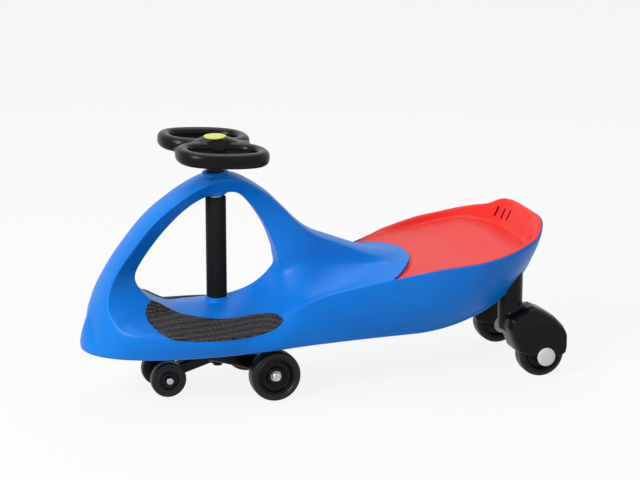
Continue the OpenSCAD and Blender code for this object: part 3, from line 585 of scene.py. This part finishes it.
def body_object():
    hull, arch = hull_object(), arch_object()
    pieces = [copy_of(hull), copy_of(arch), *column_bosses(), belly_pad()]
    body = voxel_union(joined("body", pieces), BODY_VOXEL)
    relax(body, 1)
    co = points_of(body)
    near = np.maximum(nearest_distance(hull, co), nearest_distance(arch, co))
    relax(body, JOIN_ROUNDS, smooth(JOIN_GAIN * (1 - near / JOIN_REACH)))
    relax(body, 2)
    for part in (hull, arch):
        bpy.data.objects.remove(part)
    return cut(body, *tub_cutters())


def copy_of(obj):
    made = bpy.data.objects.new(obj.name + "_copy", obj.data.copy())
    bpy.context.scene.collection.objects.link(made)
    return made


# Seat

FLANGE_W, SEAM_FLANGE_W = 2.6 * MM, 1 * MM
WALL_W, TAIL_WALL_W = 13 * MM, 28 * MM
SEAT_PLAY = 0.3 * MM
SEAT_EDGE_R = 0.8 * MM
FLOOR_RINGS, WALL_RINGS, EDGE_RINGS = 10, 24, 3
SLOT_BACK, SLOT_SWEEP = 25 * MM, 4 * MM
SLOT_Y, SLOT_PITCH = 56 * MM, 18 * MM
SLOT_L, SLOT_W, SLOT_REACH = 18 * MM, 4.5 * MM, 9 * MM
SLOT_LEAN = 54


def seat_rings():
    """Pairs of rings, on the seat and under it, from the middle of the seat to its edge."""
    o = seat_outline(RIM_LEFT + SEAT_PLAY, SEAT_PLAY)
    mid = np.array([along(SEAT_MID), 0])
    edge_z = seat_edge_z()
    reach = np.linalg.norm(o - mid, axis=1)
    at_seam = np.arange(len(o)) >= 2 * OUTLINE_STEPS - 1
    ridge = 1 - np.where(at_seam, SEAM_FLANGE_W, FLANGE_W) / reach
    foot = ridge - blend(WALL_W, TAIL_WALL_W, smooth((mid[0] - o[:, 0]) / (mid[0] - TAIL_X))) / reach
    rings = []
    for i in range(1, FLOOR_RINGS + WALL_RINGS + EDGE_RINGS + 1):
        wall = np.clip((i - FLOOR_RINGS) / WALL_RINGS, 0, 1)
        edge = np.clip((i - FLOOR_RINGS - WALL_RINGS) / EDGE_RINGS, 0, 1)
        u = foot * min(i / FLOOR_RINGS, 1) if i <= FLOOR_RINGS else blend(blend(foot, ridge, wall), 1, edge)
        p = mid + (o - mid) * u[:, None]
        z = blend(level_z(p[:, 0]) - seat_depth(p[:, 0]), edge_z, smooth(wall))
        rings.append((np.column_stack([p, z]), np.column_stack([p, z - SEAT_T])))
    return rings


def seat_object():
    rings = seat_rings()
    n = len(rings[0][0])
    top = [r[0] for r in rings]
    low = [r[1] for r in rings]
    drop = np.array([0, 0, SEAT_EDGE_R])
    inner = blend(top[-1], top[-2], 0.5)
    shells = top[:-1] + [inner, top[-1] - drop] + low[::-1]
    verts, faces = loft_mesh(shells, closed_ends=False)
    for ring, flip in ((0, True), (len(shells) - 1, False)):
        start = ring * n
        middle = len(verts)
        verts = np.vstack([verts, verts[start:start + n].mean(0)])
        for j in range(n):
            pair = (start + j, start + (j + 1) % n)
            faces.append((middle, *(pair if flip else pair[::-1])))
    seat = new_object("seat", verts, faces)
    return cut(seat, *slot_cutters())


def slot_cutters():
    """Three short slots in the wall at the right rear corner."""
    half, r = SLOT_L / 2, SLOT_W / 2
    outline = rounded([(-half, -r, r), (half, -r, r), (half, r, r), (-half, r, r)], 6)
    height = (level_z(TAIL_X) - SEAT_DEPTH + rim_z(TAIL_X)) / 2
    made = []
    for i in (-1, 0, 1):
        rings = [[(a, b, c) for a, b in outline] for c in (-SLOT_REACH, SLOT_REACH)]
        slot = new_object(f"slot_{i}", *loft_mesh(rings))
        x, y = TAIL_X + SLOT_BACK + i * SLOT_SWEEP, -SLOT_Y - i * SLOT_PITCH
        place = Matrix.Translation((x, y, float(height)))
        slot.data.transform(place @ Matrix.Rotation(math.radians(SLOT_LEAN), 4, "Y"))
        made.append(slot)
    return made


# Foot mats

MAT = np.array([
    [0.6085, 0.860, 0.920],
    [0.6120, 0.760, 0.965],
    [0.6190, 0.660, 0.980],
    [0.6300, 0.585, 0.985],
    [0.6550, 0.548, 0.985],
    [0.6890, 0.583, 0.985],
    [0.7325, 0.582, 0.985],
    [0.7713, 0.502, 0.985],
    [0.7981, 0.410, 0.985],
    [0.8229, 0.325, 0.985],
    [0.8436, 0.295, 0.980],
    [0.8610, 0.310, 0.920],
    [0.8735, 0.375, 0.770],
    [0.8810, 0.480, 0.610],
])
MAT_T = 2.6 * MM
MAT_STUD = 1.0 * MM
MAT_PITCH = 5.6 * MM
MAT_ALONG, MAT_ACROSS = 260, 90
CAST_Z = 200 * MM
MAT_EDGE = 0.55
RIM_FALL, BORDER_FALL = 30, 8


def from_edge(u, w, rate):
    """Grid that rises from 0 at a mat's edge to 1 inside it, twice as fast along it as across."""
    return np.minimum(smooth(rate * np.minimum(w, 1 - w))[None],
                      smooth(2 * rate * np.minimum(u, 1 - u))[:, None])


def ground_under(body, x, y):
    """Height of the body's deck under a grid of places."""
    tree = tree_of(body)
    down = Vector((0, 0, -1))
    ground = top_z(x, y)
    for at in np.ndindex(x.shape):
        hit = tree.ray_cast(Vector((x[at], y[at], CAST_Z)), down)[0]
        if hit is not None and hit.z > ground[at]:
            ground[at] = hit.z
    return ground


def mat_object(side, body):
    """A mat that follows the deck, with rows of small studs inside a plain border."""
    u = np.linspace(0, 1, MAT_ALONG + 1)
    w = np.linspace(0, 1, MAT_ACROSS + 1)
    share = blend(MAT[0, 0], MAT[-1, 0], u)
    x = along(share)
    inner, outer = curve(MAT, 1, share), curve(MAT, 2, share)
    middle, half = (inner + outer) / 2, (outer - inner) / 2
    across = (middle[:, None] + half[:, None] * (2 * w - 1)) * rim_y(x)[:, None]
    place = np.repeat(x[:, None], len(w), 1)
    ground = ground_under(body, place, across)
    studs = (np.cos(2 * math.pi * (place + across) / MAT_PITCH)
             * np.cos(2 * math.pi * (place - across) / MAT_PITCH))
    top = (ground + MAT_T * blend(MAT_EDGE, 1, from_edge(u, w, RIM_FALL))
           + MAT_STUD * np.maximum(0, studs) * from_edge(u, w, BORDER_FALL))
    return sheet_object(f"mat_{side}", place, across, top, ground - 1 * MM, side)


def sheet_object(name, x, y, top, low, side):
    """A closed slab between two grids of heights."""
    rows, cols = x.shape
    sign = 1 if side == "left" else -1
    verts = np.concatenate([np.stack([x, sign * y, z], 2).reshape(-1, 3) for z in (top, low)])
    half = rows * cols
    faces = []
    for i in range(rows - 1):
        for j in range(cols - 1):
            a, b, c, d = i * cols + j, (i + 1) * cols + j, (i + 1) * cols + j + 1, i * cols + j + 1
            faces.append((a, b, c, d))
            faces.append((half + d, half + c, half + b, half + a))
    edge = [j for j in range(cols)] + [i * cols + cols - 1 for i in range(1, rows)]
    edge += [(rows - 1) * cols + j for j in range(cols - 2, -1, -1)]
    edge += [i * cols for i in range(rows - 2, 0, -1)]
    for a, b in zip(edge, edge[1:] + edge[:1]):
        faces.append((a, b, half + b, half + a))
    return new_object(name, verts, faces)


# Steering wheel

WHEEL_VOXEL = 1.2 * MM
LOOP_LENGTH, LOOP_WIDTH = 144 * MM, 105 * MM
TUBE_HALF_W, TUBE_HALF_H, TUBE_POWER = 10 * MM, 11.5 * MM, 2.7
LOOP_OFFSET, LOOP_LEAD, LOOP_Z, LOOP_TILT = 54.5 * MM, 3.5 * MM, 390 * MM, 4
LOOP_POWER = 2.5
SADDLE_HALF_L, SADDLE_HALF_W, SADDLE_POWER = 58 * MM, 20.5 * MM, 3.2
SADDLE_END_Z, SADDLE_TOP_Z, SADDLE_LOW_Z = 396 * MM, 409.6 * MM, 380 * MM
CAP_R, CAP_PLAY = 17.5 * MM, 0.3 * MM
CAP_SEAT_DEPTH, CAP_SEAT_OVER = 3 * MM, 9 * MM
NECK = [(0, 351.5, 0), (14.2, 351.5, 0.5), (14.2, 374, 4), (25, 380, 5), (24, 396, 6), (0, 396, 0)]


def oval(half_w, high, low, power, steps=32):
    """Outline of a rounded box: half its width, and its height above and below the middle."""
    q = np.linspace(0, 2 * math.pi, steps, endpoint=False)
    c, s = np.cos(q), np.sin(q)
    k = (np.abs(c) ** power + np.abs(s) ** power) ** (-1 / power)
    return np.column_stack([half_w * k * c, np.where(s > 0, high, low) * k * s])


def loop_object(side):
    """One oval hand loop, its tube taller than wide with flat walls."""
    a, b = LOOP_LENGTH / 2 - TUBE_HALF_W, LOOP_WIDTH / 2 - TUBE_HALF_W
    tube = oval(TUBE_HALF_W, TUBE_HALF_H, TUBE_HALF_H, TUBE_POWER)
    rings = []
    for t in np.linspace(0, 2 * math.pi, 128, endpoint=False):
        c, s = math.cos(t), math.sin(t)
        k = (abs(c) ** LOOP_POWER + abs(s) ** LOOP_POWER) ** (-1 / LOOP_POWER)
        here = np.array([a * k * c, b * k * s])
        normal = np.array([abs(c) ** (LOOP_POWER - 1) * math.copysign(1, c) / a,
                           abs(s) ** (LOOP_POWER - 1) * math.copysign(1, s) / b])
        normal /= np.linalg.norm(normal)
        rings.append([(*(here + normal * away), rise) for away, rise in tube])
    obj = new_object(f"loop_{side}", *loft_mesh(rings, loop=True))
    place = Matrix.Translation((COLUMN_X + LOOP_LEAD, side * LOOP_OFFSET, LOOP_Z))
    obj.data.transform(place @ Matrix.Rotation(math.radians(-LOOP_TILT), 4, "Y"))
    return obj


def saddle_object():
    """The bar between the loops, which swells up to the cap in the middle."""
    rings = []
    for x in np.linspace(-SADDLE_HALF_L, SADDLE_HALF_L, 49):
        swell = math.cos(math.pi / 2 * x / SADDLE_HALF_L) ** 2
        ridge = blend(SADDLE_END_Z, SADDLE_TOP_Z, swell)
        width = SADDLE_HALF_W * blend(0.8, 1, swell)
        section = oval(width, ridge - LOOP_Z, LOOP_Z - SADDLE_LOW_Z, SADDLE_POWER)
        rings.append([(COLUMN_X + LOOP_LEAD * (1 - swell) + x, y, LOOP_Z + z) for y, z in section])
    return new_object("saddle", *loft_mesh(rings))


def wheel_object():
    neck = turned("neck", [(r * MM, z * MM, e * MM) for r, z, e in NECK], (COLUMN_X, 0, 0))
    parts = [loop_object(-1), loop_object(1), saddle_object(), neck]
    wheel = voxel_union(joined("steering_wheel_skin", parts), WHEEL_VOXEL)
    relax(wheel, 5)
    low, high = SADDLE_TOP_Z - CAP_SEAT_DEPTH, SADDLE_TOP_Z + CAP_SEAT_OVER
    return cut(wheel, drum("cap_seat", CAP_R + CAP_PLAY, low, high, (COLUMN_X, 0, 0)))


def hub_cap_object():
    low, high = (v[2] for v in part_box("hub_cap"))
    profile = [(0, low, 0), (CAP_R, low, 0.3 * MM), (CAP_R, high - 1.4 * MM, 1 * MM),
               (CAP_R * 0.6, high - 0.2 * MM, 5 * MM), (0, high, 0)]
    return turned("hub_cap_skin", profile, (COLUMN_X, 0, 0))


# Rear legs: the hood's outline round the axle as shares of its radius, from under the post's front down
# and round to under its back, the outline of its outer face, and rows from the outer to the inner side
# with their place across, blend of the two outlines and size

HOOD_R, HOOD_W, POST_R = 46 * MM, 58 * MM, 19.5 * MM
HOOD = np.array([
    [1.22, 1.40], [1.28, 1.04], [1.13, 0.57], [0.99, 0.20], [0.65, 0.07], [0.00, -0.02], [-0.57, -0.02],
    [-0.76, 0.07], [-0.80, 0.26], [-0.80, 0.83], [-0.70, 1.04], [-0.46, 1.30], [-0.04, 1.57],
    [0.30, 1.72], [0.58, 1.68]])
HOOD_FACE = np.array([
    [0.60, 0.70], [0.74, 0.62], [0.80, 0.45], [0.82, 0.22], [0.58, 0.08], [0.00, -0.02], [-0.57, -0.02],
    [-0.74, 0.07], [-0.78, 0.26], [-0.78, 0.64], [-0.67, 0.82], [-0.43, 0.94], [-0.07, 0.94],
    [0.22, 0.88], [0.42, 0.80]])
HOOD_ROWS = [
    (0.50, 0, 0.98), (0.48, 0.31, 1), (0.44, 0.52, 1), (0.38, 0.71, 1), (0.30, 0.86, 1),
    (0.20, 0.96, 1), (0.09, 1, 1), (-0.36, 1, 1), (-0.44, 1, 0.99), (-0.50, 1, 0.95)]
REAR_TRAIL, POST_SPACING = 40 * MM, 136 * MM
LEG_VOXEL = 1.3 * MM
LEG_JOIN, LEG_ROUNDS, LEG_GAIN = 9 * MM, 50, 1.5
POST_OUT, POST_LEAD, POST_FOOT, POST_EDGE_R = 5 * MM, 4 * MM, 0.8, 5 * MM
CAVITY_GAP, CAVITY_SIDE_GAP = 4 * MM, 3 * MM
AXLE_BOSS_R = 9 * MM


def leg_object(hand):
    """A round post that flows into the hood over the wheel."""
    sign = 1 if hand == "left" else -1
    axle = mid_of(f"rear_wheel_{hand}")
    tyre_low, tyre_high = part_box(f"rear_tyre_{hand}")
    leg_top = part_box(f"rear_leg_{hand}")[1][2]
    rings = []
    for across, share, size in HOOD_ROWS:
        y = axle.y + sign * HOOD_W * across
        outline = HOOD_R * size * blend(HOOD_FACE, HOOD, share)
        rings.append([(axle.x + x, y, axle.z + z) for x, z in outline])
    hood = new_object("hood", *loft_mesh(rings))
    post_at = (axle.x + REAR_TRAIL + POST_LEAD, sign * (POST_SPACING / 2 + POST_OUT), 0)
    post = drum("post", POST_R, axle.z + HOOD_R * POST_FOOT, leg_top, post_at, POST_EDGE_R)
    boss = drum("axle_boss", AXLE_BOSS_R, -HOOD_W / 2 + 0.5 * MM, HOOD_W / 2 - 0.5 * MM, axle, 1 * MM, "Y")
    leg = voxel_union(joined(f"leg_{hand}", [copy_of(hood), copy_of(post), boss]), LEG_VOXEL)
    relax(leg, 6)
    co = points_of(leg)
    near = np.maximum(nearest_distance(hood, co), nearest_distance(post, co))
    relax(leg, LEG_ROUNDS, smooth(LEG_GAIN * (1 - near / LEG_JOIN)))
    for part in (hood, post):
        bpy.data.objects.remove(part)
    radius = (tyre_high[2] - tyre_low[2]) / 2 + CAVITY_GAP
    side = (tyre_high[1] - tyre_low[1]) / 2 + CAVITY_SIDE_GAP
    return cut(leg, drum("cavity", radius, -side, side, axle, 2 * MM, "Y"))


# Wheels

def tyre_profile(r, half_w, inner):
    """Section of a tyre: a crowned tread, round shoulders and a shallow groove in each wall."""
    e, g = min(6 * MM, half_w / 2), 0.7 * MM
    wall = [(inner, half_w - 1.5 * MM, 0.8 * MM), (inner + 1.5 * MM, half_w, 0.8 * MM),
            (r - 9 * MM, half_w, 0.3 * MM), (r - 8.4 * MM, half_w - g, 0.3 * MM),
            (r - 7.6 * MM, half_w - g, 0.3 * MM), (r - 7 * MM, half_w, 0.3 * MM), (r - 0.6 * MM, half_w, e)]
    return wall + [(r, 0, half_w)] + [(a, -b, c) for a, b, c in reversed(wall)]


def disc_profile(r, half_w, rim, bore):
    """Section of a wheel's middle: a rim, a deep dish and a raised ring round the bolt."""
    side = [(bore, half_w - 7 * MM, 0.5 * MM), (r * 0.2, half_w - 7 * MM, 0.5 * MM),
            (r * 0.22, half_w - 3 * MM, 1 * MM), (r * 0.34, half_w - 3.5 * MM, 1.2 * MM),
            (r * 0.37, half_w - 8.5 * MM, 1.5 * MM), (rim - 5 * MM, half_w - 8 * MM, 2 * MM),
            (rim - 3 * MM, half_w - 1.5 * MM, 1 * MM), (rim, half_w - 1.5 * MM, 0.5 * MM)]
    return side + [(a, -b, c) for a, b, c in reversed(side)]


TYRE_WALL = {"main": 11 * MM, "rear": 9 * MM}
BORE = 4.2 * MM
FRONT_HALF_W = 8 * MM


def wheel_objects(end, hand):
    """A tyre and the dished wheel inside it."""
    low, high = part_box(f"{end}_tyre_{hand}")
    middle = mid_of(f"{end}_tyre_{hand}")
    r, half_w = (high[2] - low[2]) / 2, (high[1] - low[1]) / 2
    inner = r - TYRE_WALL[end]
    tyre = turned(f"tyre_{end}_{hand}", tyre_profile(r, half_w, inner), middle, "Y", ring=True)
    disc = turned(f"disc_{end}_{hand}", disc_profile(r, half_w, inner, BORE), middle, "Y", ring=True)
    return shade(tyre, 32), shade(disc, 32)


def small_wheel(hand):
    """A small front wheel, moulded in one with its tread."""
    low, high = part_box(f"front_wheel_{hand}")
    middle = mid_of(f"front_wheel_{hand}")
    r = (high[2] - low[2]) / 2
    side = [(BORE, FRONT_HALF_W - 5 * MM, 0.4 * MM), (r * 0.26, FRONT_HALF_W - 5 * MM, 0.4 * MM),
            (r * 0.28, FRONT_HALF_W - 2 * MM, 0.8 * MM), (r * 0.38, FRONT_HALF_W - 2.4 * MM, 0.8 * MM),
            (r * 0.42, FRONT_HALF_W - 5.5 * MM, 1 * MM), (r * 0.52, FRONT_HALF_W - 5 * MM, 1 * MM),
            (r * 0.56, FRONT_HALF_W - 0.4 * MM, 0.8 * MM), (r * 0.74, FRONT_HALF_W, 0.4 * MM),
            (r * 0.76, FRONT_HALF_W - 0.5 * MM, 0.2 * MM), (r * 0.79, FRONT_HALF_W, 0.4 * MM),
            (r - 0.4 * MM, FRONT_HALF_W, 4 * MM)]
    profile = side + [(r, 0, FRONT_HALF_W)] + [(a, -b, c) for a, b, c in reversed(side)]
    return shade(turned(f"small_wheel_{hand}", profile, middle, "Y", ring=True), 32)


BOLT_H, BOLT_SHOULDER, BOLT_SOCKET = 6 * MM, 1.2 * MM, 2.2 * MM
BOLT_R = {"main": 7.2 * MM, "front": 5.6 * MM}


def bolt_objects(name, centre, outer, r, h):
    """A bolt with a round head and a socket in it at each end of an axle."""
    made = []
    for sign in (1, -1):
        end = sign * outer
        under, shoulder, socket = end - sign * h, end - sign * BOLT_SHOULDER, end - sign * BOLT_SOCKET
        profile = [(0, under, 0), (r, under, 0.4 * MM), (r, shoulder, 0.8 * MM), (r * 0.8, end, 0.8 * MM),
                   (r * 0.48, end, 0.3 * MM), (r * 0.42, socket, 0.2 * MM), (0, socket, 0)]
        made.append(turned(f"{name}_{sign}", profile, (centre.x, 0, centre.z), "Y", 48))
    return joined(name, made)


def cap_objects(hand):
    """The white domed caps over both ends of a rear axle."""
    low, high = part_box(f"rear_axle_caps_{hand}")
    middle = mid_of(f"rear_axle_caps_{hand}")
    r, end = (high[2] - low[2]) / 2, (high[1] - low[1]) / 2
    made = []
    for sign in (1, -1):
        profile = [(0, sign * (end - 4 * MM), 0), (r, sign * (end - 4 * MM), 0.3 * MM),
                   (r, sign * (end - 1.5 * MM), 1.2 * MM), (r * 0.7, sign * (end - 0.3 * MM), 4 * MM),
                   (0, sign * end, 0)]
        made.append(turned(f"cap_{hand}_{sign}", profile, middle, "Y", 64))
    return joined(f"caps_{hand}", made)


def sleeve_object():
    """The soft sleeve round the column, with rounded ends."""
    low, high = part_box("column_sleeve")
    r, inner = (high[0] - low[0]) / 2, (high[0] - low[0]) / 2 - 2.5 * MM
    profile = [(inner, low[2], 0.5 * MM), (r, low[2], 1.5 * MM),
               (r, high[2], 2 * MM), (inner, high[2], 0.5 * MM)]
    return turned("sleeve", profile, (COLUMN_X, 0, 0), ring=True)


def softened(node, voxel, rounds):
    """A copy of a CAD piece with moulded, rounded edges."""
    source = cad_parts[node]
    made = bpy.data.objects.new(f"{node}_skin", source.data.copy())
    made.data.transform(source.matrix_world)
    bpy.context.scene.collection.objects.link(made)
    return relax(voxel_union(made, voxel), rounds)


# Materials

def material(name):
    made = bpy.data.materials.new(name)
    made.use_nodes = True
    nodes, links = made.node_tree.nodes, made.node_tree.links
    return made, nodes, links, nodes["Principled BSDF"]


def srgb(r, g, b):
    """Linear colour of an 8-bit sRGB one."""
    def line(c):
        c /= 255
        return c / 12.92 if c <= 0.04045 else ((c + 0.055) / 1.055) ** 2.4
    return (line(r), line(g), line(b), 1)


CLOUD_SCALE = 9
# Size and pale colour of the dots painted on the mat: a painted sheen standing in for light caught on its
# studs.
SHEEN_DOT_SCALE = 210
STUD_SHEEN_COLOUR = srgb(112, 104, 100)


def plastic(name, dark, light, roughness, grain_scale, grain_depth, specular, studs=False):
    """Moulded plastic: a clouded colour, uneven gloss and a fine grain in relief; with studs, pale dots of
    painted sheen.
    """
    made, nodes, links, shader = material(name)
    where = nodes.new("ShaderNodeTexCoord")
    cloud = nodes.new("ShaderNodeTexNoise")
    cloud.inputs["Scale"].default_value = CLOUD_SCALE
    cloud.inputs["Detail"].default_value = 4
    links.new(where.outputs["Object"], cloud.inputs["Vector"])
    tint = nodes.new("ShaderNodeValToRGB")
    tint.color_ramp.elements[0].position, tint.color_ramp.elements[1].position = 0.35, 0.65
    tint.color_ramp.elements[0].color, tint.color_ramp.elements[1].color = dark, light
    links.new(cloud.outputs["Fac"], tint.inputs["Fac"])
    colour = tint.outputs["Color"]
    # Pale dots mixed into the colour: painted sheen standing in for light caught on the mat's studs.
    if studs:
        sheen_dots = nodes.new("ShaderNodeTexVoronoi")
        sheen_dots.inputs["Scale"].default_value = SHEEN_DOT_SCALE
        sheen_dots.inputs["Randomness"].default_value = 0.15
        links.new(where.outputs["Object"], sheen_dots.inputs["Vector"])
        stud_sheen = nodes.new("ShaderNodeMapRange")
        stud_sheen.inputs["From Min"].default_value, stud_sheen.inputs["From Max"].default_value = 0.5, 0.15
        stud_sheen.inputs["To Max"].default_value = 0.55
        links.new(sheen_dots.outputs["Distance"], stud_sheen.inputs["Value"])
        mix = nodes.new("ShaderNodeMix")
        mix.data_type = "RGBA"
        links.new(stud_sheen.outputs["Result"], mix.inputs["Factor"])
        links.new(colour, mix.inputs[6])
        mix.inputs[7].default_value = STUD_SHEEN_COLOUR
        colour = mix.outputs[2]
    links.new(colour, shader.inputs["Base Color"])
    grain = nodes.new("ShaderNodeTexNoise")
    grain.inputs["Scale"].default_value = grain_scale
    grain.inputs["Detail"].default_value = 6
    links.new(where.outputs["Object"], grain.inputs["Vector"])
    gloss = nodes.new("ShaderNodeMapRange")
    gloss.inputs["To Min"].default_value = roughness - 0.05
    gloss.inputs["To Max"].default_value = roughness + 0.07
    links.new(cloud.outputs["Fac"], gloss.inputs["Value"])
    links.new(gloss.outputs["Result"], shader.inputs["Roughness"])
    bump = nodes.new("ShaderNodeBump")
    bump.inputs["Strength"].default_value = 0.35
    bump.inputs["Distance"].default_value = grain_depth
    links.new(grain.outputs["Fac"], bump.inputs["Height"])
    links.new(bump.outputs["Normal"], shader.inputs["Normal"])
    shader.inputs["Specular IOR Level"].default_value = specular
    return made


BLUE = plastic("blue_plastic", srgb(5, 112, 208), srgb(9, 121, 217), 0.38, 900, 0.00006, 0.18)
RED = plastic("red_plastic", srgb(222, 38, 32), srgb(230, 46, 38), 0.34, 900, 0.00006, 0.2)
BLACK = plastic("black_plastic", srgb(6, 6, 7), srgb(10, 10, 11), 0.27, 1100, 0.00006, 0.15)
RUBBER = plastic("black_tyre", srgb(16, 16, 18), srgb(24, 24, 26), 0.38, 1500, 0.00012, 0.26)
FOAM = plastic("column_foam", srgb(11, 11, 12), srgb(17, 17, 18), 0.6, 1400, 0.0003, 0.15)
# studs=True paints pale dots on the mat as sheen on its studs.
MATTING = plastic("mat_rubber", srgb(12, 11, 11), srgb(20, 18, 18), 0.36, 1200, 0.0002, 0.25, studs=True)
WHITE = plastic("white_plastic", srgb(216, 216, 214), srgb(226, 226, 224), 0.35, 900, 0.00006, 0.5)
LIME = plastic("lime_plastic", srgb(192, 202, 84), srgb(206, 214, 98), 0.34, 900, 0.00006, 0.4)


def steel(name):
    """Brushed zinc-plated steel."""
    made, nodes, links, shader = material(name)
    where = nodes.new("ShaderNodeTexCoord")
    streak = nodes.new("ShaderNodeTexNoise")
    streak.inputs["Scale"].default_value = 420
    streak.inputs["Detail"].default_value = 5
    links.new(where.outputs["Object"], streak.inputs["Vector"])
    tint = nodes.new("ShaderNodeValToRGB")
    tint.color_ramp.elements[0].color = srgb(168, 170, 174)
    tint.color_ramp.elements[1].color = srgb(206, 208, 212)
    links.new(streak.outputs["Fac"], tint.inputs["Fac"])
    links.new(tint.outputs["Color"], shader.inputs["Base Color"])
    gloss = nodes.new("ShaderNodeMapRange")
    gloss.inputs["To Min"].default_value = 0.24
    gloss.inputs["To Max"].default_value = 0.42
    links.new(streak.outputs["Fac"], gloss.inputs["Value"])
    links.new(gloss.outputs["Result"], shader.inputs["Roughness"])
    shader.inputs["Metallic"].default_value = 1
    return made


STEEL = steel("zinc_steel")


def dress(obj, finish):
    obj.data.materials.clear()
    obj.data.materials.append(finish)
    return obj


def stand_in(obj, finish, body, slot, *nodes):
    """A finished piece that rides on a body in place of CAD nodes."""
    dress(obj, finish)
    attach(obj, body)
    if nodes:
        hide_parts(*nodes)
    return obj


body = stand_in(shade(body_object(), 50), BLUE, "chassis", "shell_blue", "body_shell")
stand_in(shade(seat_object(), 50), RED, "chassis", "seat_red", "seat_panel")
stand_in(shade(sleeve_object()), FOAM, "chassis", "plastic_black", "column_sleeve")
for end, bolt in BOLT_R.items():
    nuts = f"{end}_axle_nuts"
    bolts = bolt_objects(f"{end}_bolts", mid_of(nuts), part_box(nuts)[1][1], bolt, BOLT_H)
    stand_in(shade(bolts), STEEL, "steering", "steel", nuts)
stand_in(shade(wheel_object(), 50), BLACK, "steering", "plastic_black", "steering_wheel")
stand_in(shade(hub_cap_object()), LIME, "steering", "cap_lime", "hub_cap")
stand_in(shade(softened("truck_frame", 1.4 * MM, 5), 50), BLACK, "steering", "plastic_black", "truck_frame")
for hand in ("left", "right"):
    stand_in(shade(mat_object(hand, body), 60), MATTING, "chassis", "mat_black", f"foot_mat_{hand}")
    stand_in(shade(leg_object(hand), 50), BLACK, "chassis", "plastic_black", f"rear_leg_{hand}")
    for end, unit in (("main", "main_wheel_unit"), ("rear", "rear_wheel_unit")):
        tyre, disc = wheel_objects(end, hand)
        stand_in(tyre, RUBBER, f"{unit}_{hand}", "wheel_black", f"{end}_tyre_{hand}")
        stand_in(disc, BLACK, f"{unit}_{hand}", "wheel_black", f"{end}_wheel_{hand}")
    stand_in(small_wheel(hand), RUBBER, f"front_wheel_unit_{hand}", "wheel_black", f"front_wheel_{hand}")
    stand_in(shade(cap_objects(hand)), WHITE, "chassis", "cap_white", f"rear_axle_caps_{hand}")

# Finishes of the CAD nodes that stay
for name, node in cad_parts.items():
    if node.hide_render:
        continue
    if name in ("shaft_nut", "steering_shaft"):
        dress(node, BLACK)
    elif name in ("upper_bush", "lower_bush", "thrust_washer"):
        dress(node, WHITE)
    elif "tyre" in name:
        dress(node, RUBBER)
    elif any(word in name for word in ("axle", "nut", "screw", "washer", "shaft", "bearing")):
        dress(node, STEEL)
    else:
        dress(node, BLACK)


# Studio

def seen_directly(nodes, links):
    """A node that gives 1 to rays that show a surface, straight or in a gloss, and 0 to lighting ones."""
    ray = nodes.new("ShaderNodeLightPath")
    first = nodes.new("ShaderNodeMath")
    first.operation = "MAXIMUM"
    links.new(ray.outputs["Is Camera Ray"], first.inputs[0])
    links.new(ray.outputs["Is Glossy Ray"], first.inputs[1])
    both = nodes.new("ShaderNodeMath")
    both.operation = "MAXIMUM"
    links.new(first.outputs["Value"], both.inputs[0])
    links.new(ray.outputs["Is Transmission Ray"], both.inputs[1])
    return both.outputs["Value"]


SKY_LIGHT = 0.22
FLOOR_GLOW = 0.88


def studio():
    scene = bpy.context.scene
    scene.view_settings.view_transform = "Standard"
    world = bpy.data.worlds.new("studio")
    scene.world = world
    world.use_nodes = True
    nodes, links = world.node_tree.nodes, world.node_tree.links
    back = nodes["Background"]
    strength = nodes.new("ShaderNodeMapRange")
    strength.inputs["To Min"].default_value = SKY_LIGHT
    strength.inputs["To Max"].default_value = 1.0
    links.new(seen_directly(nodes, links), strength.inputs["Value"])
    back.inputs["Color"].default_value = (1, 1, 1, 1)
    links.new(strength.outputs["Result"], back.inputs["Strength"])

    bpy.ops.mesh.primitive_plane_add(size=30, location=(0, 0, 0))
    floor = bpy.context.object
    floor.name = "floor"
    made, nodes, links, shader = material("floor_white")
    shader.inputs["Base Color"].default_value = (0.7, 0.7, 0.7, 1)
    shader.inputs["Roughness"].default_value = 0.9
    glow = nodes.new("ShaderNodeEmission")
    mix = nodes.new("ShaderNodeMixShader")
    share = nodes.new("ShaderNodeMath")
    share.operation = "MULTIPLY"
    share.inputs[1].default_value = FLOOR_GLOW
    links.new(seen_directly(nodes, links), share.inputs[0])
    links.new(share.outputs["Value"], mix.inputs["Fac"])
    links.new(shader.outputs["BSDF"], mix.inputs[1])
    links.new(glow.outputs["Emission"], mix.inputs[2])
    links.new(mix.outputs["Shader"], nodes["Material Output"].inputs["Surface"])
    dress(floor, made)


def lamp(name, place, target, size, watts):
    data = bpy.data.lights.new(name, "AREA")
    data.shape = "DISK"
    data.size = size
    data.energy = watts
    obj = bpy.data.objects.new(name, data)
    bpy.context.scene.collection.objects.link(obj)
    obj.location = place
    obj.rotation_euler = (Vector(target) - Vector(place)).to_track_quat("-Z", "Y").to_euler()
    return obj


# Camera at the photograph's angle
CAMERA_PLACE = Vector((1.120, 3.464, 1.238))
CAMERA_BACK = Vector((0.2978, 0.9165, 0.2672))
FOCAL_PX = 2400
IMAGE_W = 640
SENSOR_W = 36


def camera():
    data = bpy.data.cameras.new("camera")
    data.sensor_fit = "HORIZONTAL"
    data.sensor_width = SENSOR_W
    data.lens = SENSOR_W * FOCAL_PX / IMAGE_W
    data.clip_end = 100
    obj = bpy.data.objects.new("camera", data)
    bpy.context.scene.collection.objects.link(obj)
    obj.location = CAMERA_PLACE
    obj.rotation_euler = (-CAMERA_BACK).to_track_quat("-Z", "Y").to_euler()
    bpy.context.scene.camera = obj


# Lamps: name, place, target, diameter and watts
LAMPS = [
    ("key", (2.6, 1.6, 2.2), (0, 0, 0.15), 1.4, 108),
    ("fill", (-1.2, 3.0, 1.6), (0, 0, 0.15), 1.8, 2.5),
    ("top", (-0.2, -0.6, 2.6), (0, 0, 0.2), 2.0, 30),
]

studio()
for settings in LAMPS:
    lamp(*settings)
camera()
